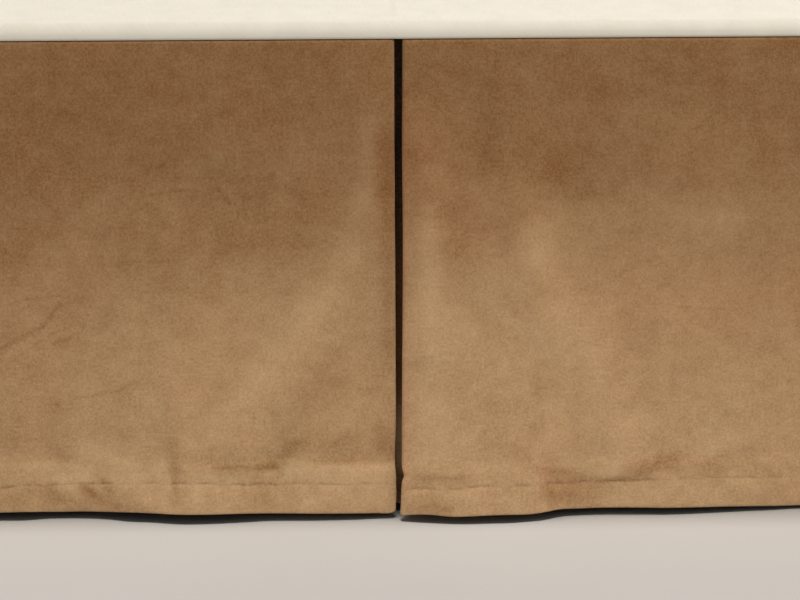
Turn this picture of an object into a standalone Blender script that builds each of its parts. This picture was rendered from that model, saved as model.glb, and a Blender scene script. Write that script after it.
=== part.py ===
"""Tailored bed skirt with an inverted box pleat in each side, on the plain box spring that it falls over.

Metres, +Z up. The origin is on the floor under the middle of the bed. The foot of the bed faces -Y.
"""

import math

import bmesh
import bpy
from mathutils import Matrix

MM = 0.001
INCH = 0.0254
TOUCH_GAP = 0.3 * MM

# The bed.
DECK_WIDTH = 60 * INCH
DECK_LENGTH = 79.5 * INCH
BOX_WIDTH = 59 * INCH
BOX_LENGTH = 79 * INCH
BOX_HEIGHT = 9 * INCH
BOX_TOP = 15 * INCH
BOX_CORNER_RADIUS = 45 * MM
BOX_EDGE_RADIUS = 12 * MM
BOX_MIDDLE_Y = (DECK_LENGTH - BOX_LENGTH) / 2
BOX_BOTTOM = BOX_TOP - BOX_HEIGHT
LEG_TOP_RADIUS = 30 * MM
LEG_FOOT_RADIUS = 22 * MM
LEG_SIDES = 24
LEG_INSET_X = 60 * MM
LEG_INSET_Y = 80 * MM

# The cloth.
CLOTH = 1.2 * MM
DECK_ROLL_RADIUS = 10 * MM
DECK_RIM = 12 * MM
DECK_TOP = BOX_TOP + TOUCH_GAP + CLOTH
DROP_TOP = DECK_TOP - DECK_RIM - TOUCH_GAP
CORNER_SPLIT = 5 * MM

# The hem: a turned-up allowance behind the cloth, and the line of stitches that holds it.
HEM_ALLOWANCE = 40 * MM
HEM_STITCH = 24 * MM
HEM_LAYER = 1.2 * MM
HEM_STEP = 3 * MM
STITCH_GROOVE = 0.3 * MM
STITCH_HALF_WIDTH = 1.5 * MM
SIDE_HEM = 12 * MM

# The pleat: the cloth turns back behind each panel and runs across the slit as an underlay.
SLIT = 5.0 * MM
PLEAT_DEPTH = 4 * INCH
FRONT_TURN_RADIUS = 2.5 * MM
BACK_TURN_RADIUS = 2.75 * MM
RETURN_OUT = -2 * FRONT_TURN_RADIUS
UNDERLAY_OUT = RETURN_OUT - 2 * BACK_TURN_RADIUS
UNDERLAY_FOLLOWS = 0.35
UNDERLAY_LIFT = 1.5 * MM
TURN_STEPS = 4

# How the hang grows from the straight seam down to the hem.
HANG_POWER = 1.5

# Where a drop's hem stands out from its seam, and how high its edge is over the floor, in millimetres.
FOOT_HEM = (
    # along, out, up
    (-757, 8, 5.0),
    (-650, 14, 4.6),
    (-530, 5, 5.4),
    (-410, 9, 4.8),
    (-300, 3, 5.2),
    (-226, 4, 5.3),
    (-158, 12, 5.3),
    (-128, 10, 4.3),
    (-75, 6, 3.3),
    (-14, 5, 2.4),
    (-4, 4, 2.1),
    (3, 5, 1.4),
    (10, 10, 2.2),
    (23, 15, 3.3),
    (68, 21, 5.2),
    (99, 18, 4.2),
    (122, 11, 5.6),
    (145, 6, 5.3),
    (183, 4, 4.5),
    (229, 3, 3.7),
    (300, 1, 3.0),
    (410, 8, 4.6),
    (530, 4, 5.2),
    (650, 13, 4.6),
    (757, 8, 5.0),
)
LEFT_HEM = (
    # along, out, up
    (-1010, 8, 5.0),
    (-860, 13, 4.6),
    (-700, 5, 5.2),
    (-560, 12, 4.8),
    (-390, 4, 5.4),
    (-240, 11, 4.8),
    (-90, 5, 4.0),
    (60, 6, 3.8),
    (190, 13, 4.6),
    (350, 4, 5.2),
    (500, 10, 4.8),
    (680, 5, 5.4),
    (840, 14, 4.6),
    (1010, 7, 5.0),
)
RIGHT_HEM = (
    # along, out, up
    (-1010, 7, 5.0),
    (-890, 4, 5.4),
    (-730, 12, 4.6),
    (-590, 5, 5.2),
    (-440, 9, 4.8),
    (-270, 4, 5.2),
    (-110, 9, 4.2),
    (40, 5, 3.8),
    (170, 5, 4.4),
    (300, 13, 4.6),
    (470, 5, 5.4),
    (620, 11, 4.8),
    (790, 4, 5.2),
    (910, 12, 4.6),
    (1010, 8, 5.0),
)

# Soft ridges and troughs, each along a straight line on the panel, in millimetres.
FOOT_FOLDS = (
    # along, up, to along, to up, half width, rise
    (-20, 366, -24, 230, 16, 2.0),
    (-25, 205, -122, 50, 20, 3.5),
    (-36, 130, -101, 47, 13, -2.5),
    (-250, 300, -140, 240, 30, -2.0),
    (-300, 120, -235, 160, 12, -1.5),
    (24, 290, 27, 150, 15, 2.5),
    (56, 320, 50, 220, 20, -2.5),
    (98, 245, 125, 148, 20, 2.5),
    (125, 148, 178, 42, 24, 2.5),
    (118, 330, 112, 245, 20, -2.0),
    (210, 270, 250, 240, 34, 2.5),
    (112, 34, 116, 6, 9, -2.5),
    (-165, 62, -168, 14, 8, -2.0),
    (-450, 360, -520, 120, 30, 3.0),
    (-640, 340, -600, 90, 28, -2.5),
    (430, 350, 480, 110, 30, 3.0),
    (640, 345, 590, 120, 28, -2.5),
)
LEFT_FOLDS = (
    # along, up, to along, to up, half width, rise
    (-22, 360, -30, 190, 22, 2.5),
    (26, 340, 40, 170, 22, 2.5),
    (-180, 350, -260, 110, 32, 3.0),
    (-520, 340, -470, 120, 34, -2.5),
    (-800, 345, -860, 110, 34, 3.0),
    (220, 345, 300, 130, 32, -2.5),
    (560, 350, 500, 120, 34, 3.0),
    (860, 340, 900, 130, 34, -2.5),
)
RIGHT_FOLDS = (
    # along, up, to along, to up, half width, rise
    (-24, 350, -34, 200, 22, 2.5),
    (22, 355, 30, 180, 22, 2.5),
    (-240, 345, -180, 120, 32, -2.5),
    (-620, 350, -690, 110, 34, 3.0),
    (-900, 345, -860, 130, 34, -2.5),
    (260, 350, 200, 120, 34, 3.0),
    (540, 345, 610, 130, 34, -2.5),
    (840, 350, 800, 120, 34, 3.0),
)

# Row heights over the hem's edge, coarse for the sides and finer for the foot, in millimetres.
HEM_ROWS = (0, 12)
FOOT_ROWS = (62, 90, 120, 152, 186, 220, 256, 292, 328)
SIDE_ROWS = (80, 130, 190, 250, 310)


def clear_scene():
    for item in list(bpy.data.objects):
        bpy.data.objects.remove(item, do_unlink=True)


def cloth_material(name, colour, roughness):
    material = bpy.data.materials.new(name)
    material.use_nodes = True
    shader = material.node_tree.nodes["Principled BSDF"]
    shader.inputs["Base Color"].default_value = (*colour, 1.0)
    shader.inputs["Roughness"].default_value = roughness
    shader.inputs["Metallic"].default_value = 0.0
    return material


def add_object(name, mesh, material, place=(0.0, 0.0, 0.0), turn=0.0):
    if not mesh.materials:
        mesh.materials.append(material)
    item = bpy.data.objects.new(name, mesh)
    item.location = place
    item.rotation_euler = (0.0, 0.0, turn)
    bpy.context.scene.collection.objects.link(item)
    return item


def mesh_from(working, name, smooth=True):
    bmesh.ops.recalc_face_normals(working, faces=working.faces)
    mesh = bpy.data.meshes.new(name)
    working.to_mesh(mesh)
    working.free()
    if smooth:
        mesh.shade_smooth()
        mesh.set_sharp_from_angle(angle=math.radians(35))
    return mesh


def smooth_value(rows, along, column):
    """A smooth curve through one column of a table whose first column is the place along the drop."""
    if along <= rows[0][0]:
        return rows[0][column]
    if along >= rows[-1][0]:
        return rows[-1][column]
    at = next(i for i in range(len(rows) - 1) if rows[i + 1][0] >= along)
    before, start, end, after = (rows[min(max(i, 0), len(rows) - 1)] for i in range(at - 1, at + 3))
    span = end[0] - start[0]
    share = (along - start[0]) / span
    start_slope = span * (end[column] - before[column]) / (end[0] - before[0])
    end_slope = span * (after[column] - start[column]) / (after[0] - start[0])
    square, cube = share**2, share**3
    return (
        (2 * cube - 3 * square + 1) * start[column]
        + (cube - 2 * square + share) * start_slope
        + (3 * square - 2 * cube) * end[column]
        + (cube - square) * end_slope
    )


def fold_height(folds, along, up):
    """The sum of the ridges and troughs at one point, each fading over its half width."""
    total = 0.0
    for from_along, from_up, to_along, to_up, half_width, rise in folds:
        run_along, run_up = to_along - from_along, to_up - from_up
        reach = (along - from_along) * run_along + (up - from_up) * run_up
        share = min(max(reach / (run_along**2 + run_up**2), 0.0), 1.0)
        off_along = along - from_along - share * run_along
        off_up = up - from_up - share * run_up
        total += rise * math.exp(-(off_along**2 + off_up**2) / half_width**2)
    return total


def pleat_half(half_length, panel_places):
    """Half of the cloth's section in plan, from the middle of the underlay out to the end of the panel.

    Each station is its place along and out, the way its right side faces, and how far it follows the panel.
    """
    edge = (SLIT + CLOTH) / 2 + FRONT_TURN_RADIUS
    back = edge + PLEAT_DEPTH
    stations = [(share * back, UNDERLAY_OUT, 0.0, 1.0, UNDERLAY_FOLLOWS) for share in (0.0, 0.33, 0.67, 1.0)]
    for step in range(1, TURN_STEPS):
        angle = math.pi * (step / TURN_STEPS - 0.5)
        across, out = math.cos(angle), math.sin(angle)
        middle_out = UNDERLAY_OUT + BACK_TURN_RADIUS
        place = (back + BACK_TURN_RADIUS * across, middle_out + BACK_TURN_RADIUS * out)
        stations.append((*place, -across, -out, UNDERLAY_FOLLOWS))
    for share in (1.0, 0.67, 0.33, 0.0):
        follows = 1.0 + share * (UNDERLAY_FOLLOWS - 1.0)
        stations.append((edge + share * PLEAT_DEPTH, RETURN_OUT, 0.0, -1.0, follows))
    for step in range(1, TURN_STEPS):
        angle = math.pi * (step / TURN_STEPS - 0.5)
        across, out = math.cos(angle), math.sin(angle)
        place = (edge - FRONT_TURN_RADIUS * across, -FRONT_TURN_RADIUS + FRONT_TURN_RADIUS * out)
        stations.append((*place, -across, out, 1.0))
    stations.append((edge, 0.0, 0.0, 1.0, 1.0))
    ends = (half_length - SIDE_HEM - HEM_STEP, half_length - SIDE_HEM, half_length)
    inner = [place * MM for place in panel_places if edge < place * MM < ends[0] - HEM_STEP]
    stations += [(place, 0.0, 0.0, 1.0, 1.0) for place in (*inner, *ends)]
    return stations


def section(half_length, panel_places):
    """The whole strip, from its left end to its right end."""
    right = pleat_half(half_length, panel_places)
    left = [(-along, out, -face_along, face_out, follows) for along, out, face_along, face_out, follows in right[1:]]
    return left[::-1] + right


def wrong_side(up, from_end):
    """How far the wrong side is from the cloth's middle: further where a hem is turned up behind it."""
    if up < HEM_ALLOWANCE or from_end < SIDE_HEM + MM:
        return CLOTH / 2 + HEM_LAYER
    return CLOTH / 2


def drop_mesh(name, length, panel_places, rows, hem_table, folds):
    """One hanging strip: the section at every row height, with the hang and the folds added, as a closed sheet."""
    half_length = length / 2
    stations = section(half_length, panel_places)
    stitch_rows = (HEM_STITCH - STITCH_HALF_WIDTH, HEM_STITCH, HEM_STITCH + STITCH_HALF_WIDTH)
    allowance_rows = (HEM_ALLOWANCE - 0.1 * MM, HEM_ALLOWANCE + HEM_STEP)
    drop_height = DROP_TOP - min(row[2] for row in hem_table) * MM
    heights = [row * MM for row in HEM_ROWS] + [*stitch_rows, *allowance_rows]
    heights += [row * MM for row in rows] + [drop_height]
    working = bmesh.new()
    faces_of_side = {"right": [], "wrong": []}
    for height in heights:
        share_up = height / drop_height
        hang = (1.0 - share_up) ** HANG_POWER
        groove = STITCH_GROOVE if abs(height - HEM_STITCH) < 0.1 * MM else 0.0
        line = {"right": [], "wrong": []}
        for along, out, face_along, face_out, follows in stations:
            place = along / MM
            lift = UNDERLAY_LIFT * (1.0 - follows) / (1.0 - UNDERLAY_FOLLOWS)
            hem_up = smooth_value(hem_table, place, 2) * MM + lift
            up = hem_up + share_up * (DROP_TOP - hem_up)
            bulge = smooth_value(hem_table, place, 1) * hang
            fade = min((1.0 - share_up) / 0.1, 1.0)
            bulge += fade * fold_height(folds, place, height / MM)
            middle = out + follows * max(bulge, 0.0) * MM
            behind = wrong_side(height, half_length - abs(along))
            for side, offset in (("right", CLOTH / 2 - groove), ("wrong", -behind + groove)):
                point = (along + offset * face_along, middle + offset * face_out, up)
                line[side].append(working.verts.new((point[0], -point[1], point[2])))
        for side, verts in line.items():
            faces_of_side[side].append(verts)
    for grid in faces_of_side.values():
        for low, high in zip(grid, grid[1:]):
            for i in range(len(stations) - 1):
                working.faces.new((low[i], low[i + 1], high[i + 1], high[i]))
    bmesh.ops.recalc_face_normals(working, faces=working.faces)
    right, wrong = faces_of_side["right"], faces_of_side["wrong"]
    rim_right = right[0] + [row[-1] for row in right[1:]] + right[-1][-2::-1] + [row[0] for row in right[-2:0:-1]]
    rim_wrong = wrong[0] + [row[-1] for row in wrong[1:]] + wrong[-1][-2::-1] + [row[0] for row in wrong[-2:0:-1]]
    for i in range(len(rim_right)):
        after = (i + 1) % len(rim_right)
        working.faces.new((rim_right[i], rim_right[after], rim_wrong[after], rim_wrong[i]))
    return mesh_from(working, name)


def even_places(first, last, count):
    return [first + (last - first) * i / (count - 1) for i in range(count)]


def build_drops(material):
    """The three strips. Each is made facing -Y about its own middle, then turned to its side of the bed."""
    foot_length = DECK_WIDTH - 2 * CORNER_SPLIT
    foot_places = even_places(22, 300, 15) + even_places(335, 735, 11)
    foot = drop_mesh("foot_drop", foot_length, foot_places, FOOT_ROWS, FOOT_HEM, FOOT_FOLDS)
    add_object("foot_drop", foot, material, (0.0, -DECK_LENGTH / 2 + CLOTH / 2, 0.0))

    side_length = DECK_LENGTH - CORNER_SPLIT
    side_places = even_places(30, 975, 22)
    side_out = DECK_WIDTH / 2 - CLOTH / 2
    for name, side, hem_table, folds in (
        ("left_drop", -1, LEFT_HEM, LEFT_FOLDS),
        ("right_drop", 1, RIGHT_HEM, RIGHT_FOLDS),
    ):
        mesh = drop_mesh(name, side_length, side_places, SIDE_ROWS, hem_table, folds)
        add_object(name, mesh, material, (side * side_out, CORNER_SPLIT / 2, 0.0), side * math.pi / 2)


def build_deck(material):
    """The plain cloth on the box spring. It rolls over the edge on three sides down to the seam with the drops."""
    working = bmesh.new()
    size = Matrix.Diagonal((DECK_WIDTH, DECK_LENGTH, DECK_RIM, 1.0))
    middle = Matrix.Translation((0.0, 0.0, DECK_TOP - DECK_RIM / 2))
    bmesh.ops.create_cube(working, size=1.0, matrix=middle @ size)
    open_sides = [face for face in working.faces if face.normal.z < -0.5 or face.normal.y > 0.5]
    bmesh.ops.delete(working, geom=open_sides, context="FACES_ONLY")
    rolled = [edge for edge in working.edges if len(edge.link_faces) == 2]
    bmesh.ops.bevel(
        working, geom=rolled, offset=DECK_ROLL_RADIUS, segments=4, profile=0.5, affect="EDGES"
    )
    deck = add_object("deck", mesh_from(working, "deck"), material)
    thickness = deck.modifiers.new("cloth thickness", "SOLIDIFY")
    thickness.thickness = CLOTH
    thickness.offset = -1.0
    thickness.use_even_offset = True


def build_box_spring(material):
    """A plain upholstered block with round upright corners and softened edges."""
    working = bmesh.new()
    size = Matrix.Diagonal((BOX_WIDTH, BOX_LENGTH, BOX_HEIGHT, 1.0))
    middle = Matrix.Translation((0.0, BOX_MIDDLE_Y, BOX_BOTTOM + BOX_HEIGHT / 2))
    bmesh.ops.create_cube(working, size=1.0, matrix=middle @ size)
    upright = [edge for edge in working.edges if abs(edge.verts[0].co.z - edge.verts[1].co.z) > MM]
    bmesh.ops.bevel(
        working, geom=upright, offset=BOX_CORNER_RADIUS, segments=6, profile=0.5, affect="EDGES"
    )
    bmesh.ops.recalc_face_normals(working, faces=working.faces)
    level = [face for face in working.faces if abs(face.normal.z) > 0.9]
    outline = list({edge for face in level for edge in face.edges})
    bmesh.ops.bevel(
        working, geom=outline, offset=BOX_EDGE_RADIUS, segments=4, profile=0.5, affect="EDGES"
    )
    add_object("box_spring", mesh_from(working, "box_spring"), material)


def build_legs(material):
    """Six round legs, narrower at the foot, under the long sides of the box spring."""
    height = BOX_BOTTOM - TOUCH_GAP
    working = bmesh.new()
    bmesh.ops.create_cone(
        working,
        cap_ends=True,
        segments=LEG_SIDES,
        radius1=LEG_FOOT_RADIUS,
        radius2=LEG_TOP_RADIUS,
        depth=height,
        matrix=Matrix.Translation((0.0, 0.0, height / 2)),
    )
    mesh = mesh_from(working, "leg")
    reach_x = BOX_WIDTH / 2 - LEG_INSET_X
    reach_y = BOX_LENGTH / 2 - LEG_INSET_Y
    for side, across in (("left", -reach_x), ("right", reach_x)):
        for row, along in (("foot", -reach_y), ("middle", 0.0), ("head", reach_y)):
            add_object(f"leg_{row}_{side}", mesh, material, (across, BOX_MIDDLE_Y + along, 0.0))


def build():
    clear_scene()
    skirt = cloth_material("brushed_tan_cloth", (0.36, 0.215, 0.095), 0.9)
    deck = cloth_material("plain_deck_cloth", (0.70, 0.65, 0.55), 0.9)
    ticking = cloth_material("box_spring_ticking", (0.62, 0.60, 0.55), 0.85)
    wood = cloth_material("leg_wood", (0.06, 0.035, 0.02), 0.45)
    build_drops(skirt)
    build_deck(deck)
    build_box_spring(ticking)
    build_legs(wood)


build()
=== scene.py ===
import math

import bpy
import numpy as np
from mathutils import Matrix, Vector, noise


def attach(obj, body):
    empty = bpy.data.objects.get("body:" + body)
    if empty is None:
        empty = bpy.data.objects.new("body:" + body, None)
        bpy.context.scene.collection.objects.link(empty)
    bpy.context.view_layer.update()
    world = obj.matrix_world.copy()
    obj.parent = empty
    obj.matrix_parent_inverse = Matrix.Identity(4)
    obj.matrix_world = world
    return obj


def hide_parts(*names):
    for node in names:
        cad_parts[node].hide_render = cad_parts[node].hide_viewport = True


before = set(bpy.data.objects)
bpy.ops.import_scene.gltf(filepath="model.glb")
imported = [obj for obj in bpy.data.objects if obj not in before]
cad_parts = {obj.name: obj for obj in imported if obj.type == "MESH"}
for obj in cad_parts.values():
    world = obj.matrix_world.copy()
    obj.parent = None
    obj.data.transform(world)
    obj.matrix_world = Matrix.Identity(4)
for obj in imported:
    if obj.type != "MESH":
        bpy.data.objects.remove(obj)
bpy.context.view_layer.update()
mm = 0.001
print("frame loaded")


def deselectAll():
    bpy.ops.object.select_all(action="DESELECT")


def selectOnly(piece):
    deselectAll()
    piece.select_set(True)
    bpy.context.view_layer.objects.active = piece


def editAll(piece):
    # into edit mode, with all of the mesh selected
    selectOnly(piece)
    bpy.ops.object.mode_set(mode="EDIT")
    bpy.ops.mesh.select_all(action="SELECT")


def applyModifiers(piece):
    selectOnly(piece)
    for modifier in list(piece.modifiers):
        bpy.ops.object.modifier_apply(modifier=modifier.name)


def thicken(piece, thickness):
    # a sheet gets half of its thickness on each side
    solid = piece.modifiers.new("thickness", "SOLIDIFY")
    solid.thickness = thickness * mm
    solid.offset = 0
    applyModifiers(piece)


def placeInMesh(piece):
    # a finished piece sits at the origin, with its place in its mesh
    selectOnly(piece)
    bpy.ops.object.transform_apply(location=True, rotation=True, scale=True)


def newPiece(name, verts, faces):
    mesh = bpy.data.meshes.new(name)
    mesh.from_pydata(verts, [], faces)
    mesh.update()
    piece = bpy.data.objects.new(name, mesh)
    bpy.context.collection.objects.link(piece)
    return piece


def makeGrid(columnCount, rowCount):
    # a flat grid, and the column and row that each of its points is in, counted from its lower left
    deselectAll()
    bpy.ops.mesh.primitive_grid_add(x_subdivisions=columnCount - 1, y_subdivisions=rowCount - 1, size=1)
    piece = bpy.context.object
    flat = np.empty(len(piece.data.vertices) * 3)
    piece.data.vertices.foreach_get("co", flat)
    flat = flat.reshape(-1, 3)
    column = np.rint((flat[:, 0] + 0.5) * (columnCount - 1)).astype(int)
    row = np.rint((flat[:, 1] + 0.5) * (rowCount - 1)).astype(int)
    return piece, column, row


def finishPiece(piece, name, material, nodes=(), angle=60):
    piece.name = name
    piece.data.name = name
    piece.data.materials.clear()
    piece.data.materials.append(material)
    selectOnly(piece)
    bpy.ops.object.shade_smooth_by_angle(angle=math.radians(angle))
    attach(piece, "root")
    if nodes:
        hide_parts(*nodes)
    return piece


def spaced(start, end, step):
    return list(np.linspace(start, end, max(1, round(abs(end - start) / step)) + 1))


def turns(angles):
    # the cosine and sine of each angle, in degrees
    return [(math.cos(math.radians(angle)), math.sin(math.radians(angle))) for angle in angles]


def runAlong(points):
    # how far along a line each of its points is
    step = np.linalg.norm(np.diff(points, axis=0), axis=1)
    return np.concatenate([[0], np.cumsum(step)])


def smoothStep(low, high, value):
    s = np.clip((value - low) / (high - low), 0, 1)
    return s * s * (3 - 2 * s)


def bump(away, halfWidth):
    # one at its middle, fading on both sides
    return np.exp(-((away / halfWidth) ** 2))


def curveThrough(rows, column, places):
    # a smooth curve through one column of a table whose first column is the place
    at = np.array([row[0] for row in rows], float)
    values = np.array([row[column] for row in rows], float)
    slopes = np.empty(len(rows))
    slopes[1:-1] = (values[2:] - values[:-2]) / (at[2:] - at[:-2])
    slopes[0] = (values[1] - values[0]) / (at[1] - at[0])
    slopes[-1] = (values[-1] - values[-2]) / (at[-1] - at[-2])
    places = np.clip(places, at[0], at[-1])
    i = np.clip(np.searchsorted(at, places) - 1, 0, len(rows) - 2)
    span = at[i + 1] - at[i]
    s = (places - at[i]) / span
    start = (2 * s**3 - 3 * s**2 + 1) * values[i] + (s**3 - 2 * s**2 + s) * span * slopes[i]
    end = (3 * s**2 - 2 * s**3) * values[i + 1] + (s**3 - s**2) * span * slopes[i + 1]
    return start + end


def strokes(rows, along, up):
    # soft strokes, each fading over its half width from a straight line
    total = np.zeros(along.shape)
    for fromAlong, fromUp, toAlong, toUp, halfWidth, strength in rows:
        runX, runY = toAlong - fromAlong, toUp - fromUp
        share = ((along - fromAlong) * runX + (up - fromUp) * runY) / (runX**2 + runY**2)
        share = np.clip(share, 0, 1)
        away = (along - fromAlong - share * runX) ** 2 + (up - fromUp - share * runY) ** 2
        total += strength * np.exp(-away / halfWidth**2)
    return total


def softNoise(along, up, wave, tall, seed):
    # gentle noise over a grid of places, with waves about that wide and that tall
    pairs = zip((along / wave).ravel(), (up / tall).ravel())
    return np.array([noise.noise(Vector((a, b, seed))) for a, b in pairs]).reshape(along.shape)


def lineNoise(along, wave, seed):
    return softNoise(along, along * 0, wave, 1, seed)


print("helpers ready")

# where the foot drop's marks are laid out from: how steeply in degrees, the rest in millimetres
footView = {"elevation": 18, "distance": 2650, "aimHeight": 171, "wide": 2596, "tall": 2729, "aimUp": 165}


def seenAlong(drop, along, height):
    # the drops' tables are laid out as seen from the bed's foot, where what is lower is farther off
    far, nearer = drop["seenFrom"]
    return along / (far - nearer * height)


def seenPlaces(points):
    # each point of the foot drop as seen from the bed's foot: across and up, in millimetres
    eye = footView
    tilt = math.radians(eye["elevation"])
    out, up = -points[..., 1], points[..., 2] - eye["aimHeight"]
    depth = eye["distance"] - math.cos(tilt) * out - math.sin(tilt) * up
    across = eye["wide"] * points[..., 0] / depth
    return across, eye["aimUp"] + eye["tall"] * (math.cos(tilt) * up - math.sin(tilt) * out) / depth


# the skirt's cloth and how it is sewn, in millimetres
cloth = {
    "halfWidth": 762.0,
    "halfLength": 1009.65,
    "cornerGap": 5.0,
    "thickness": 1.1,
    "dropTop": 370.2,  # over the floor
    "slit": 5.0,
    "slitReach": 9.0,  # how far from the slit the cloth leans with its edges
    "pleatDepth": 101.6,
    "frontTurn": 2.5,
    "backTurn": 2.75,
    "underlayFollows": 0.35,  # how far the underlay goes along with the panel's folds
    "underlayLift": 1.5,
    "hangPower": 1.5,  # how late, from the seam down, the cloth starts to sway
    "hangsBack": 9.0,  # the farthest that a fold goes in at the hem
    "softLimit": 0.8,  # how gently it stops there
    "topFade": 0.1,  # the share of the height, at its top, that the seam holds flatter
    "seamTurn": 1.6,
    "stitchLine": 22.0,
    "stitchDepth": 0.6,
    "allowance": 40.0,
    "layerGap": 1.6,
    "layerGapStitched": 1.15,
    "sideHem": 12.0,
    "sideTurn": 0.8,
    "sideTurnLow": 2.4,
    "sideEases": 12,  # how far over the turned up cloth the side hem's turn changes
    # the steps of the grid: in the slit, behind the panels and at the ends
    "slitStep": 2,
    "hiddenStep": 12,
    "endStep": 2,
    # its rows: round the seam in degrees, down the face (down to, step), over the edge, up behind it
    "seamRows": (80, 55, 30, 12),
    "faceRows": [(50, 5.6), (30, 2), (27.5, 2.5), (18, 0.5), (5, 2)],
    "edgeRows": (3.6, 2.6),
    "backRows": (5, 10, 16, 20, 22, 24, 26, 28, 32, 36),
}

# the slit's folded edges lean a little to and fro: up, left edge's shift, right edge's shift
slitEdges = [
    (0, 0.2, -1.6), (10, 0.7, -1.1), (22, 0.7, -0.6), (26, 0.7, -0.2), (29, 0.6, 0.9), (31, 0.4, 1.4),
    (34, 0.1, 0.6), (38, -0.2, -0.2), (48, -0.3, -0.3), (70, 0.4, -0.2), (115, 0.4, 0.0), (165, 0.2, 0.4),
    (230, -0.2, 0.5), (262, -0.2, 0.2), (290, -0.5, 0.0), (366, -0.6, 0.2),
]

# painted shade by height, darker towards the top and lighter towards the hem: up, share of light nap
shadeByHeight = [
    (0, 0.80), (35, 0.76), (90, 0.64), (154, 0.58), (210, 0.30), (283, -0.02), (310, -0.10), (370, -0.12),
]

# painted shade in the stitches' grooves, and painted shade inside the pleat: dark high up and at the foot,
# and lifted a little everywhere, which leaves a less shaded piece low down between them
shadeDetails = {
    # the stitches' painted shade in their grooves
    "stitches": (1.0, -0.42),  # half width and change where they draw the cloth in
    "pleatFrom": (2.5, 5),  # how far behind the panel's face, in millimetres
    # the pleat's painted shade: how dark from a height up, how dark at the foot, and how much it is lifted
    # everywhere
    "dark": 1.3,
    "shadeFrom": (62, 100),  # over the hem's edge, in millimetres
    "footShade": 0.9,
    "footTo": (24, 38),
    "wornAndLit": 0.2,
}
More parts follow.
